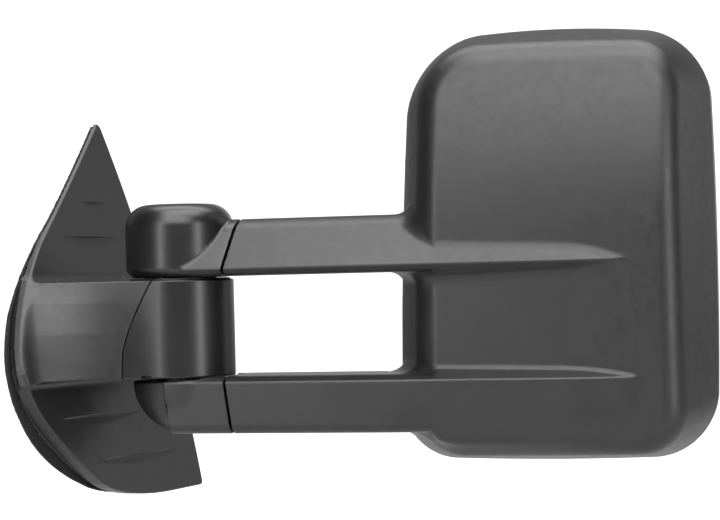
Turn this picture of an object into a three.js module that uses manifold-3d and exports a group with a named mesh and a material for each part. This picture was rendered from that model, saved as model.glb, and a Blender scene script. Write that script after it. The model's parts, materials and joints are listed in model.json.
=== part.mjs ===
// Extending, fold-away towing mirror for a pickup truck's front door. Millimetres, +Z up.
// +X runs outboard along the two arms, +Y points to the rear of the vehicle (the glass side),
// and the origin is the centre of the bracket's flat face against the door.
//
// The drawing datum is the fold axis: x = y = 0 on the axis, z = 0 just under the upper arm.
// Everything is drawn from that datum, and one group carries it to the door-face origin.
import * as THREE from "three";
import { mergeVertices } from "three/addons/utils/BufferGeometryUtils.js";
import Module from "manifold-3d";

const wasm = await Module();
wasm.setup();

// ---------------------------------------------------------------- driving dimensions
const GAP = 0.3; // between pieces that touch
const WALL = 2.8; // moulded plastic wall

const SWEEP = THREE.MathUtils.degToRad(12.5); // door plane turned from the arms' square
const DOOR_LEAN = THREE.MathUtils.degToRad(9.64); // the door leans in towards the roof
const DOOR_FACE = new THREE.Vector3(-88.6, 10, -50); // centre of the door face, from the datum

const PIVOT_R = 39.5; // pivot cap, neck end and lower root
const NECK_TOP = -3;
const NECK_BOTTOM = -73.5;
const CAP_TOP = 52;
const ROOT_BOTTOM = -115.2;
const SEAM_X = 45; // where a sleeve meets its arm root

const TUBE_Y = -3; // slide tube centre, and its outside size
const UPPER_TUBE_Z = 17;
const LOWER_TUBE_Z = -94;
const TUBE_DEPTH = 20;
const TUBE_HEIGHT = 24;
const TUBE_WALL = 2;
const TUBE_START = 30.3;
const TUBE_END = 330;

const POST_R = 12;
const POST_TOP = 30;
const POST_BOTTOM = -101.8;
const KNUCKLE_R = 30;
const KNUCKLE_TOP = -6.5;
const KNUCKLE_BOTTOM = -70;
const KNUCKLE_STEP = -28; // the bush bore ends here and the wider spring bore starts
const BUSH_R = 16;
const SPRING_BORE_R = 24;

const WIDEST_Y = 34; // where the head is widest
const RIM_Y = 50;
const BEZEL_Y = 62;
const FACE_FILLET = 12;
const FRAME_Y = 12; // front of the plate that carries the glass
const FRAME_THICK = 3;
const COLLAR_START = 198; // sliding collars that hug the tubes
const COLLAR_END = 239;

const GLASS_X = 271.5;
const GLASS_Y = 50; // reflecting surface
const BALL_Y = 34;
const MAIN_GLASS = { z: 68, width: 192, height: 165, corner: 48 };
const SPOT_GLASS = { z: -82, width: 194, height: 88, corner: 24 };
const GLASS_THICK = 3.2;
const CARRIER_THICK = 3.2;
const GLASS_CLEAR = 3.5; // round each glass inside the bezel

// ---------------------------------------------------------------- materials
function material(color, roughness, metalness = 0) {
  return new THREE.MeshStandardMaterial({ color, roughness, metalness });
}
const texturedPlastic = material(0x232326, 0.55);
const satinPlastic = material(0x1d1d20, 0.35);
const innerPlastic = material(0x2a2a2c, 0.7);
const nylon = material(0xd8d4c8, 0.5);
const sealRubber = material(0x111112, 0.85);
const coatedSteel = material(0x1a1a1b, 0.4, 0.6);
const castAlloy = material(0x8e9094, 0.5, 0.9);
const zincSteel = material(0xb9b8ae, 0.35, 1);
const springSteel = material(0x6b6d70, 0.35, 1);
const mirrorSilver = material(0xdfe5ea, 0.03, 1);

// ---------------------------------------------------------------- solids from geometries
const X = new THREE.Vector3(1, 0, 0);
const Y = new THREE.Vector3(0, 1, 0);
const Z = new THREE.Vector3(0, 0, 1);

// A closed geometry as a solid that can be joined and cut.
function solid(geometry) {
  const bare = geometry.index ? geometry.toNonIndexed() : geometry.clone();
  bare.deleteAttribute("normal");
  bare.deleteAttribute("uv");
  const merged = mergeVertices(bare, 1e-3);
  const made = new wasm.Manifold(
    new wasm.Mesh({
      numProp: 3,
      vertProperties: new Float32Array(merged.attributes.position.array),
      triVerts: new Uint32Array(merged.index.array),
    }),
  );
  return made;
}

// A solid back as a geometry.
function geometryOf(made) {
  const mesh = made.getMesh();
  const points = new Float32Array(mesh.numVert * 3);
  for (let i = 0; i < mesh.numVert; i++) {
    points.set(mesh.vertProperties.subarray(i * mesh.numProp, i * mesh.numProp + 3), i * 3);
  }
  const geometry = new THREE.BufferGeometry();
  geometry.setAttribute("position", new THREE.BufferAttribute(points, 3));
  geometry.setIndex(new THREE.BufferAttribute(new Uint32Array(mesh.triVerts), 1));
  geometry.computeVertexNormals();
  return geometry;
}

function join(...solids) {
  return solids.reduce((all, one) => all.add(one));
}

function cut(body, ...tools) {
  return tools.reduce((left, tool) => left.subtract(tool), body);
}

function box(x0, x1, y0, y1, z0, z1) {
  const geometry = new THREE.BoxGeometry(x1 - x0, y1 - y0, z1 - z0);
  return solid(geometry.translate((x0 + x1) / 2, (y0 + y1) / 2, (z0 + z1) / 2));
}

// A cylinder along an axis, from one place on that axis to another.
function rod(radius, from, to, axis = Z, at = [0, 0, 0], sides = 16) {
  const geometry = new THREE.CylinderGeometry(radius, radius, to - from, sides);
  geometry.translate(0, (from + to) / 2, 0);
  geometry.applyQuaternion(new THREE.Quaternion().setFromUnitVectors(Y, axis));
  return solid(geometry.translate(...at));
}

// A profile of [radius, height] points turned about an axis.
function turned(profile, axis = Z, sides = 28) {
  const points = profile.map(([r, h]) => new THREE.Vector2(r, h));
  const geometry = new THREE.LatheGeometry(points, sides);
  geometry.applyQuaternion(new THREE.Quaternion().setFromUnitVectors(Y, axis));
  return geometry;
}

const CURVE_STEPS = 3;

// A flat shape in the plane of the first two axes, pushed from one place to another along the third.
const ALONG = {
  x: new THREE.Matrix4().makeBasis(Y, Z, X),
  y: new THREE.Matrix4().makeBasis(Z, X, Y),
  z: new THREE.Matrix4(),
};
function prism(shape, along, from, to, steps = CURVE_STEPS) {
  const settings = { depth: to - from, bevelEnabled: false, curveSegments: steps };
  const geometry = new THREE.ExtrudeGeometry(shape, settings);
  geometry.translate(0, 0, from);
  return solid(geometry.applyMatrix4(ALONG[along]));
}

// A closed outline through corner points, each rounded by its own radius.
function rounded(corners, holes = []) {
  const shape = new THREE.Shape();
  const count = corners.length;
  corners.forEach(([x, y, radius = 0], i) => {
    const here = new THREE.Vector2(x, y);
    const before = new THREE.Vector2(...corners[(i + count - 1) % count].slice(0, 2));
    const after = new THREE.Vector2(...corners[(i + 1) % count].slice(0, 2));
    const start = here.clone().add(before.sub(here).normalize().multiplyScalar(radius));
    const end = here.clone().add(after.sub(here).normalize().multiplyScalar(radius));
    if (i === 0) shape.moveTo(start.x, start.y);
    else shape.lineTo(start.x, start.y);
    if (radius > 0) shape.quadraticCurveTo(x, y, end.x, end.y);
  });
  shape.holes.push(...holes);
  return shape;
}

function roundedBox(cx, cy, width, height, radius, holes) {
  const [w, h] = [width / 2, height / 2];
  const corners = [
    [cx - w, cy - h, radius],
    [cx + w, cy - h, radius],
    [cx + w, cy + h, radius],
    [cx - w, cy + h, radius],
  ];
  return rounded(corners, holes);
}

// The value at z of a line through [z, value] points, highest z first.
function along(z, points) {
  if (z >= points[0][0]) return points[0][1];
  for (let i = 1; i < points.length; i++) {
    const [z1, v1] = points[i];
    const [z0, v0] = points[i - 1];
    if (z >= z1) return v1 + ((z - z1) / (z0 - z1)) * (v0 - v1);
  }
  return points[points.length - 1][1];
}

// A closed solid through sections: lists of [x, y, z] points, alike in number.
function loft(sections) {
  const count = sections[0].length;
  const points = sections.flat(2);
  const faces = [];
  for (let s = 0; s + 1 < sections.length; s++) {
    for (let i = 0; i < count; i++) {
      const j = (i + 1) % count;
      const [a, b] = [s * count + i, s * count + j];
      const [c, d] = [a + count, b + count];
      faces.push(a, b, d, a, d, c);
    }
  }
  const last = (sections.length - 1) * count;
  for (const [start, flip] of [[0, true], [last, false]]) {
    const middle = points.length / 3;
    const sum = new THREE.Vector3();
    for (let i = 0; i < count; i++) sum.add(new THREE.Vector3().fromArray(points, (start + i) * 3));
    points.push(...sum.divideScalar(count).toArray());
    for (let i = 0; i < count; i++) {
      const j = (i + 1) % count;
      if (flip) faces.push(middle, start + j, start + i);
      else faces.push(middle, start + i, start + j);
    }
  }
  const geometry = new THREE.BufferGeometry();
  geometry.setAttribute("position", new THREE.Float32BufferAttribute(points, 3));
  geometry.setIndex(faces);
  return solid(facingOut(geometry));
}

// The geometry with its faces turned over if they enclose a negative volume.
function facingOut(geometry) {
  const position = geometry.attributes.position;
  const index = geometry.index.array;
  const [a, b, c] = [new THREE.Vector3(), new THREE.Vector3(), new THREE.Vector3()];
  let volume = 0;
  for (let i = 0; i < index.length; i += 3) {
    a.fromBufferAttribute(position, index[i]);
    b.fromBufferAttribute(position, index[i + 1]);
    c.fromBufferAttribute(position, index[i + 2]);
    volume += a.dot(b.cross(c));
  }
  if (volume < 0) {
    for (let i = 0; i < index.length; i += 3) [index[i], index[i + 1]] = [index[i + 1], index[i]];
  }
  return geometry;
}

// ---------------------------------------------------------------- door side surfaces
// x of the sail's outer face at y and z: the side glass curves in towards the roof.
function sailFace(y, z) {
  return -88.8 - 0.295 * z - 0.00037 * z * z + Math.tan(SWEEP) * y;
}
// How far behind that face the cover, the base plate and the door gasket end, at heights z.
const coverDepth = (z) => along(z, [[45, 2.8], [-25, 8.5], [-160, 11]]);
const plateDepth = (z) => along(z, [[45, 3.6], [-25, 10.2], [-100, 11.6], [-160, 16.5]]);
const sealDepth = (z) => along(z, [[60, 6.6], [20, 8.4], [-25, 14.2], [-100, 15.9], [-160, 21.5]]);

// The slab between two depths behind the sail's face, over the whole base.
function slab(shallow, deep) {
  const [yMin, yMax, zMin, zMax] = [-120, 140, -185, 140];
  const geometry = new THREE.BoxGeometry(1, yMax - yMin, zMax - zMin, 1, 1, 14);
  geometry.translate(0, (yMin + yMax) / 2, (zMin + zMax) / 2);
  const position = geometry.attributes.position;
  for (let i = 0; i < position.count; i++) {
    const [y, z] = [position.getY(i), position.getZ(i)];
    const depth = position.getX(i) > 0 ? shallow(z) : deep(z);
    position.setX(i, sailFace(y, z) - depth);
  }
  return solid(geometry);
}

// The sail's side view (y, z), moved in by an inset: straight up both window edges to the apex,
// and a long round sweep along the door, which is fuller on the pieces behind the cover.
function sailOutline(inset = 0, fuller = 0) {
  const [n, f] = [inset, fuller];
  const shape = new THREE.Shape();
  shape.moveTo(112 - n, -165 + n);
  shape.quadraticCurveTo(116 - n, -165 + n, 116 - n, -161 + n);
  shape.lineTo(116 - n, 120 - 2.2 * n);
  shape.lineTo(113 - n, 123 - 2.2 * n);
  shape.lineTo(-8 + 1.2 * n, 34 - 0.6 * n);
  shape.bezierCurveTo(-44 + n, 8, -80 + n - 0.5 * f, -38, -82.5 + n - 0.5 * f, -68);
  const belly = [-84 + n - f, -98 - f, -54 + 0.7 * n - 2 * f, -124 + 0.7 * n - 1.6 * f];
  shape.bezierCurveTo(...belly, -16 + 0.4 * n, -151 + n - 0.3 * f);
  shape.bezierCurveTo(2, -162 + n, 40, -165 + n, 70, -165 + n);
  return shape;
}

function sailPlate(shallow, deep, inset, fuller = 0) {
  return slab(shallow, deep).intersect(prism(sailOutline(inset, fuller), "x", -220, 20, 6));
}

// Where the sail's front edge lies at each height of the neck.
const sailFront = (z) => along(z, [[0, -46], [-18, -60], [-40, -72], [-60, -79], [-80, -82.5]]);

// The neck at one height, moved in by an inset: it leaves the sail in a hollow sweep and ends
// round the pivot. Its door side stands a little behind the sail's face.
function neckSection(z, inset, behind) {
  const r = PIVOT_R - inset;
  const [frontY, rearY] = [sailFront(z) + 1.4 * inset, 72 - 1.6 * inset];
  const front = new THREE.QuadraticBezierCurve(
    new THREE.Vector2(sailFace(frontY, z) - behind, frontY),
    new THREE.Vector2(-46, -r - 1.5),
    new THREE.Vector2(-4, -r),
  );
  const rear = new THREE.QuadraticBezierCurve(
    new THREE.Vector2(-4, r),
    new THREE.Vector2(-40, r + 2),
    new THREE.Vector2(sailFace(rearY, z) - behind, rearY),
  );
  const points = front.getPoints(5);
  for (let i = 0; i <= 10; i++) {
    const angle = -Math.PI / 2 + (i / 10) * Math.PI;
    points.push(new THREE.Vector2(r * Math.cos(angle), r * Math.sin(angle)));
  }
  points.push(...rear.getPoints(4));
  return points.map((p) => [p.x, p.y, z]);
}

function neckBody(inset, behind, top, bottom) {
  const heights = [0, 1, 2, 3].map((i) => top + (i / 3) * (bottom - top));
  return loft(heights.map((z) => neckSection(z, inset, behind)));
}

// Everything outboard of the line (x, z) that parts the sail cover from the neck cover.
const NECK_SPLIT = [[-4, 5], [-20, -26], [-31, -55], [-31, -85]];
const FAR_OUT = 80;
function outboardOfSplit(shift) {
  const line = NECK_SPLIT.map(([x, z]) => [z, x + shift]);
  const [top, bottom] = [line[0][0], line[line.length - 1][0]];
  return prism(rounded([...line, [bottom, FAR_OUT], [top, FAR_OUT]]), "y", -100, 100, 1);
}

// Room under the neck for the lower arm's top edge, where its corners pass as the arm folds.
function swingRelief() {
  const sweep = box(-20, 60, -60, 60, NECK_BOTTOM - 1, NECK_BOTTOM + 2.5);
  return sweep.subtract(rod(PIVOT_R + 0.7, NECK_BOTTOM - 2, NECK_BOTTOM + 3, Z, [0, 0, 0], 28));
}

// ---------------------------------------------------------------- base pieces
// The door's own axes: x out of the door, y to the rear, z up along it, from the door face.
const doorToDatum = new THREE.Matrix4()
  .makeTranslation(DOOR_FACE)
  .multiply(new THREE.Matrix4().makeRotationZ(-SWEEP))
  .multiply(new THREE.Matrix4().makeRotationY(-DOOR_LEAN));

function fromDoor(geometry) {
  return solid(geometry.applyMatrix4(doorToDatum));
}

function doorRod(radius, from, to, [y, z], sides = 8) {
  const geometry = new THREE.CylinderGeometry(radius, radius, to - from, sides);
  geometry.rotateZ(-Math.PI / 2);
  return fromDoor(geometry.translate((from + to) / 2, y, z));
}

const BRACKET_THICK = 6;
const STUDS = [[40, 24], [-38, 0], [38, -78]];
const COVER_SCREWS = [[48, -44], [-38, -58], [4, -84]];
const STUD_R = 3;
const SCREW_R = 2;

function bracketOutline(clearance = 0) {
  const c = clearance;
  return rounded([
    [58 + c, 62 + c, 8],
    [6 - c, 62 + c, 10],
    [-60 - c, 12, 14],
    [-60 - c, -48, 14],
    [-8, -96 - c, 14],
    [58 + c, -96 - c, 8],
  ]);
}

function bracketPlate(from, to, clearance) {
  const settings = { depth: to - from, bevelEnabled: false, curveSegments: CURVE_STEPS };
  const geometry = new THREE.ExtrudeGeometry(bracketOutline(clearance), settings);
  return fromDoor(geometry.applyMatrix4(ALONG.x).translate(from, 0, 0));
}

// The cast bracket: door plate, I-section neck and the knuckle that the post turns in.
function baseBracket() {
  const plan = rounded([[-110, -4], [-84, -10], [-40, -29], [-6, -27], [-6, 27], [-110, 44]]);
  const beam = join(
    prism(plan, "z", KNUCKLE_TOP - 8, KNUCKLE_TOP - 1),
    prism(plan, "z", KNUCKLE_BOTTOM + 1, KNUCKLE_BOTTOM + 8),
    box(-110, -20, -6, 6, KNUCKLE_BOTTOM + 4, KNUCKLE_TOP - 4),
  );
  const neck = beam.intersect(fromDoor(new THREE.BoxGeometry(200, 400, 400).translate(101, 0, 0)));
  const knuckle = rod(KNUCKLE_R, KNUCKLE_BOTTOM, KNUCKLE_TOP, Z, [0, 0, 0], 24);
  const body = join(bracketPlate(0, BRACKET_THICK, 0), neck, knuckle);
  return cut(
    body,
    rod(BUSH_R, KNUCKLE_STEP - 1, KNUCKLE_TOP + 1),
    rod(SPRING_BORE_R, KNUCKLE_BOTTOM - 1, KNUCKLE_STEP),
    ...STUDS.map((at) => doorRod(STUD_R + GAP, -1, BRACKET_THICK + 1, at)),
    ...COVER_SCREWS.map((at) => doorRod(SCREW_R + GAP, -1, BRACKET_THICK + 1, at)),
    ...COVER_SCREWS.map((at) => doorRod(5, -1, 3.2, at)),
  );
}

// The sail cover: the moulded skin with its rim, the neck fairing and three screw bosses.
function sailCover() {
  const skin = sailPlate(() => 0, coverDepth, 0);
  const pocket = sailPlate(() => WALL, (z) => coverDepth(z) + 2, WALL);
  const hollow = pocket.intersect(box(-220, 40, -120, 140, -185, 40));
  const neck = cut(neckBody(0, 1.4, NECK_TOP, NECK_BOTTOM), outboardOfSplit(0));
  const inside = neckBody(WALL, 12, NECK_TOP - WALL, NECK_BOTTOM + WALL);
  const shell = cut(join(cut(skin, hollow), neck), inside);
  const outer = join(skin, neck);
  const bosses = COVER_SCREWS.map((at) => doorRod(4.5, BRACKET_THICK + GAP, 40, at).intersect(outer));
  const holes = COVER_SCREWS.map((at) => doorRod(SCREW_R + GAP, 0, BRACKET_THICK + 6, at));
  const knuckleHole = rod(KNUCKLE_R - 2, NECK_BOTTOM - 1, NECK_TOP + 1);
  return cut(join(shell, ...bosses), ...holes, knuckleHole, swingRelief());
}

function neckCover() {
  const outer = neckBody(0, 1.4, NECK_TOP, NECK_BOTTOM).intersect(outboardOfSplit(GAP));
  const inside = neckBody(WALL, 12, NECK_TOP - WALL, NECK_BOTTOM + WALL);
  const knuckleHole = rod(KNUCKLE_R - 2, NECK_BOTTOM - 1, NECK_TOP + 1);
  return cut(outer, inside, knuckleHole, swingRelief());
}

// The flat moulding that closes the cover's back round the bracket.
function basePlate() {
  const plate = sailPlate((z) => coverDepth(z) + GAP, plateDepth, 3, 2);
  const below = box(-220, 40, -120, 140, -185, 36);
  return cut(plate.intersect(below), bracketPlate(-30, 40, 1));
}

function doorGasket() {
  const seal = sailPlate((z) => plateDepth(z) + GAP, sealDepth, 1, 6);
  const hole = sailPlate((z) => plateDepth(z) - 2, (z) => sealDepth(z) + 2, 11, 6);
  return cut(seal, hole);
}

function doorStud(at) {
  return join(doorRod(7, BRACKET_THICK + GAP, 9.5, at), doorRod(STUD_R, -30, 7, at));
}

function flangeNut(at) {
  const nut = join(doorRod(5.8, -10, -5, at, 6), doorRod(7.5, -5.2, -3.6, at));
  return cut(nut, doorRod(STUD_R + GAP, -12, -2, at));
}

function coverScrew(at) {
  return join(doorRod(4.2, 0.5, 2.9, at), doorRod(SCREW_R, 2, BRACKET_THICK + 5, at));
}

function ring(inner, outer, from, to, axis = Z, at = [0, 0, 0], sides = 16) {
  return cut(rod(outer, from, to, axis, at, sides), rod(inner, from - 1, to + 1, axis, at, sides));
}

// ---------------------------------------------------------------- folding arm pieces
// Arm sections as (y, z) outlines, moved in by an inset. Each has a crease along its front: the
// upper arm's tall face leans back above it, the lower arm's stands below a narrow top face.
function upperSection(inset = 0) {
  const n = inset;
  return rounded([
    [-33 + 0.6 * n, -1.3 + n],
    [-38 + 1.45 * n, 4],
    [-9 + 0.6 * n, 41 - n, 8 - n],
    [8 - 0.6 * n, 41 - n, 8 - n],
    [26 - 1.3 * n, 4],
    [22 - 0.6 * n, -1.3 + n],
  ]);
}

function lowerSection(inset = 0) {
  const n = inset;
  return rounded([
    [-31 + 0.4 * n, -72.5 - n],
    [-38 + n, -76.5],
    [-35 + n, -113.5 + n, 8 - n],
    [23 - n, -113.5 + n, 8 - n],
    [26 - n, -76.5],
    [21 - 0.4 * n, -72.5 - n],
  ]);
}

// A solid cut square below x = SEAM_X, along the line where a sleeve meets its root.
function seamCut(x, top, bottom) {
  const corners = [[top, x + 2.4], [top, 400], [bottom, 400], [bottom, x - 2.4]];
  return prism(rounded(corners), "y", -80, 80, 1);
}
const upperSeam = (x) => seamCut(x, 42, -3);
const lowerSeam = (x) => seamCut(x, -118, -70);

const CAP_PROFILE = [[39.5, 0], [39.5, 33], [37.8, 40], [33.5, 46], [27, 50.4], [20, CAP_TOP], [0, CAP_TOP]];
const CAP_HOLLOW = [[36.7, WALL], [36.7, 32.5], [35, 38.6], [31.4, 43.6], [26, 47.6], [19.5, 49], [0, 49]];
const BOWL_PROFILE = [[39.5, -75], [38.6, -82], [33.8, -92], [26.4, -102], [14.8, -110.8], [0, ROOT_BOTTOM]];
const BOWL_HOLLOW = [[36.7, -77.8], [35.8, -82], [31.3, -90.6], [24.4, -99.8], [13.6, -108.2], [0, -112.4]];

// The solid of revolution under a profile that ends on the axis, closed level at its first point.
function revolved(profile) {
  const points = [[0, profile[0][1]], ...profile];
  const geometry = mergeVertices(bareGeometry(turned(points)), 1e-3);
  return solid(facingOut(geometry));
}

function bareGeometry(geometry) {
  geometry.deleteAttribute("normal");
  geometry.deleteAttribute("uv");
  return geometry;
}

function upperRootCover() {
  const outer = join(revolved(CAP_PROFILE), cut(prism(upperSection(), "x", 0, 60), upperSeam(SEAM_X - 0.8)));
  const inner = join(revolved(CAP_HOLLOW), prism(upperSection(WALL), "x", 4, 70));
  return cut(outer, inner, rod(27.5, -5, 6));
}

function lowerRootCover() {
  const arm = cut(prism(lowerSection(), "x", 0, 60), lowerSeam(SEAM_X - 0.8));
  const outer = join(revolved(BOWL_PROFILE), cut(arm, rod(PIVOT_R + 1.5, -75, -60)));
  const level = box(-60, 70, -60, 60, -77.8, -60);
  const inner = join(revolved(BOWL_HOLLOW), cut(prism(lowerSection(WALL), "x", 4, 70), level));
  return cut(outer, inner, rod(22, -80, -60));
}

// A cast root: the collar on the post and the spigot that its slide tube is pressed onto.
function armCasting(tubeZ, from, to) {
  const spigotDepth = TUBE_DEPTH - 2 * TUBE_WALL - 2 * GAP;
  const spigotHeight = TUBE_HEIGHT - 2 * TUBE_WALL - 2 * GAP;
  const spigot = roundedBox(TUBE_Y, tubeZ, spigotDepth, spigotHeight, 2);
  const block = roundedBox(TUBE_Y, tubeZ, TUBE_DEPTH, TUBE_HEIGHT, 3);
  const body = join(
    rod(20, from, to),
    prism(block, "x", 10, TUBE_START - GAP),
    prism(spigot, "x", 10, TUBE_START + 34),
  );
  return cut(body, rod(POST_R + GAP, from - 30, to + 30));
}

function slideTube(tubeZ) {
  const hole = roundedBox(TUBE_Y, tubeZ, TUBE_DEPTH - 2 * TUBE_WALL, TUBE_HEIGHT - 2 * TUBE_WALL, 2);
  return prism(roundedBox(TUBE_Y, tubeZ, TUBE_DEPTH, TUBE_HEIGHT, 4, [hole]), "x", TUBE_START, TUBE_END, 3);
}

function tubePlug(tubeZ) {
  const spigotDepth = TUBE_DEPTH - 2 * TUBE_WALL - 2 * GAP;
  const spigotHeight = TUBE_HEIGHT - 2 * TUBE_WALL - 2 * GAP;
  const spigot = roundedBox(TUBE_Y, tubeZ, spigotDepth, spigotHeight, 1.6);
  const flange = roundedBox(TUBE_Y, tubeZ, TUBE_DEPTH + 3.6, TUBE_HEIGHT + 3.6, 4);
  return join(
    prism(spigot, "x", TUBE_END - 12, TUBE_END + 2, 3),
    prism(flange, "x", TUBE_END + GAP, TUBE_END + 4, 3),
  );
}

function pivotPost() {
  const shaft = rod(POST_R, POST_BOTTOM, POST_TOP);
  const topThread = rod(4 + GAP, POST_TOP - 22, POST_TOP + 1);
  const bottomThread = rod(4 + GAP, POST_BOTTOM - 1, POST_BOTTOM + 22);
  return cut(shaft, topThread, bottomThread);
}

function postBolt(from, end) {
  const side = Math.sign(end - from);
  const [low, high] = [from + side * GAP, end].sort((a, b) => a - b);
  const [shankLow, shankHigh] = [from - side * 18, from + side * 2].sort((a, b) => a - b);
  return join(rod(9, low, high, Z, [0, 0, 0], 6), rod(4, shankLow, shankHigh, Z, [0, 0, 0], 16));
}

// The spring that presses the arm down into its folding detents.
function pivotSpring() {
  const [radius, wire, turns, bottom, pitch] = [18.6, 1.9, 4, -57, 5.9];
  const points = [];
  for (let i = 0; i <= turns * 8; i++) {
    const angle = (i / 8) * 2 * Math.PI;
    const height = bottom + pitch * (i / 8);
    points.push(new THREE.Vector3(radius * Math.cos(angle), radius * Math.sin(angle), height));
  }
  const section = new THREE.Shape().absarc(0, 0, wire, 0, 2 * Math.PI);
  const extrudePath = new THREE.CatmullRomCurve3(points);
  const settings = { steps: turns * 10, curveSegments: 3, bevelEnabled: false, extrudePath };
  return solid(new THREE.ExtrudeGeometry(section, settings));
}

// ---------------------------------------------------------------- head pieces
// The head's outline where it is widest and where its walls would meet the face: the corners
// (x, z, radius) from the top inboard one round to the bottom inboard one.
const RIM_CORNERS = [[169, 161, 52], [382, 160, 43], [382.5, -134.8, 43], [156.5, -135.5, 40]];
const FACE_CORNERS = [[188, 155, 38], [362, 152, 32], [363, -129, 30], [183, -130, 34]];
const RIM_BOWS = [9.5, 3.4, 2.8, 3.4]; // top, outboard, bottom, inboard
const CORNER_STEPS = 4;
const EDGE_STEPS = 2;

// The outline between the face's (spread 0) and the widest one (spread 1), moved in by an inset.
function headOutline(spread, inset) {
  const { lerp } = THREE.MathUtils;
  const corners = RIM_CORNERS.map((rim, i) => rim.map((v, k) => lerp(FACE_CORNERS[i][k], v, spread)));
  const points = [];
  corners.forEach(([x, z, r], i) => {
    const toBefore = new THREE.Vector2(...corners[(i + 3) % 4].slice(0, 2)).sub({ x, y: z }).normalize();
    const after = new THREE.Vector2(...corners[(i + 1) % 4].slice(0, 2));
    const toAfter = after.clone().sub({ x, y: z }).normalize();
    const middle = new THREE.Vector2(x, z).addScaledVector(toBefore, r).addScaledVector(toAfter, r);
    for (let k = 0; k <= CORNER_STEPS; k++) {
      const angle = (k / CORNER_STEPS) * (Math.PI / 2);
      const out = toAfter.clone().multiplyScalar(-Math.cos(angle)).addScaledVector(toBefore, -Math.sin(angle));
      points.push({ at: middle.clone().addScaledVector(out.normalize(), r), out });
    }
    const here = points[points.length - 1].at.clone();
    const nextRadius = corners[(i + 1) % 4][2];
    const there = after.clone().addScaledVector(toAfter, -nextRadius);
    const out = toBefore.clone().negate();
    for (let k = 1; k < EDGE_STEPS; k++) points.push({ at: here.clone().lerp(there, k / EDGE_STEPS), out });
  });
  return points.map(({ at, out }) => {
    const [across, up] = [(at.x - 271) / 112, (at.y - 16) / 152];
    const sideBow = Math.max(0, 1 - up * up) * (out.x > 0 ? RIM_BOWS[1] : RIM_BOWS[3]);
    const endBow = Math.max(0, 1 - across * across) * (out.y > 0 ? RIM_BOWS[0] : RIM_BOWS[2]);
    const [bowX, bowZ] = [sideBow * out.x * Math.abs(out.x), endBow * out.y * Math.abs(out.y)];
    return [at.x + bowX - inset * out.x, at.y + bowZ - inset * out.y];
  });
}

// y of the face: it turns forward going outboard, and leans back towards the top.
function headFace(x, z) {
  const lean = z > 20 ? 0.0011 : 0.0003;
  return -30 - 0.03 * (x - GLASS_X) + lean * (z - 20) ** 2;
}

// The head's solid, moved in by an inset, with its rear end level at y.
function headBody(inset, rear) {
  const sections = [];
  const faceEdge = headOutline(0, inset + Math.max(FACE_FILLET - inset, 4));
  for (const share of [0.3, 0.65]) {
    sections.push(faceEdge.map(([x, z]) => {
      const [nearX, nearZ] = [GLASS_X + share * (x - GLASS_X), 20 + share * (z - 20)];
      return [nearX, headFace(nearX, nearZ) + inset, nearZ];
    }));
  }
  for (const [depth, pull] of [[0, 1], [0.13, 0.5], [0.5, 0.13], [1, 0]]) {
    const fillet = Math.max(FACE_FILLET - inset, 4);
    const outline = headOutline(0.18 * depth, inset + pull * fillet);
    sections.push(outline.map(([x, z]) => [x, headFace(x, z) + inset + depth * fillet, z]));
  }
  for (const spread of [0.55, 0.85, 1]) {
    const outline = headOutline(spread, inset);
    const share = { 0.55: 0.45, 0.85: 0.75, 1: 1 }[spread];
    const start = FACE_FILLET;
    sections.push(outline.map(([x, z]) => {
      const from = headFace(x, z) + start;
      return [x, from + share * (WIDEST_Y - from), z];
    }));
  }
  sections.push(headOutline(1, inset + 0.6).map(([x, z]) => [x, rear, z]));
  return loft(sections);
}

// The ridge that carries an arm's front crease out across the face and fades into it.
const RIDGE_STARTS = 176;
const RIDGE_FADES = [[0, 0], [0.75, 0], [0.88, 2.2], [0.96, 5.5], [1, 9.5]];
function ridge(corners, end) {
  return loft(RIDGE_FADES.map(([share, sink]) => {
    const x = THREE.MathUtils.lerp(RIDGE_STARTS, end, share);
    return corners.map(([y, z]) => [x, y + sink, z]);
  }));
}
const UPPER_RIDGE = [[-38, 4], [-34, -0.5], [-18, -3], [-18, 29]];
const LOWER_RIDGE = [[-38, -76.5], [-33, -72.5], [-18, -66], [-18, -112], [-34, -112]];

const SPLIT_Y = 10; // the sleeves' rear covers start here
const FRAME_SCREWS = [[200, 138], [346, 138], [200, -122], [346, -122]];

function sleeve(section, seam) {
  return prism(section(), "x", SEAM_X - 6, 190).intersect(seam(SEAM_X + 0.8));
}

function headHousing() {
  const outer = headBody(0, RIM_Y);
  const inner = headBody(WALL, RIM_Y + 2);
  const reach = box(0, 240, -60, 60, -140, 60);
  const sleeves = join(sleeve(upperSection, upperSeam), sleeve(lowerSection, lowerSeam));
  const rearHalves = box(0, 151, SPLIT_Y, 60, -140, 60);
  const front = cut(sleeves.intersect(reach), rearHalves);
  const body = join(outer, front, ridge(UPPER_RIDGE, 338), ridge(LOWER_RIDGE, 340));
  const channels = [upperSection(WALL), lowerSection(WALL)].map((s) => prism(s, "x", 30, 188));
  const bosses = FRAME_SCREWS.map(([x, z]) => rod(5.5, -40, FRAME_Y - GAP, Y, [x, 0, z], 16).intersect(outer));
  const holes = FRAME_SCREWS.map(([x, z]) => rod(SCREW_R + GAP, -6, FRAME_Y + 5, Y, [x, 0, z], 12));
  return cut(join(cut(body, inner, ...channels), ...bosses), ...holes);
}

function sleeveCover(section, seam) {
  const outer = sleeve(section, seam).intersect(box(0, 151 - GAP, SPLIT_Y + GAP, 60, -140, 60));
  return cut(outer, prism(section(WALL), "x", 30, 200));
}

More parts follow.
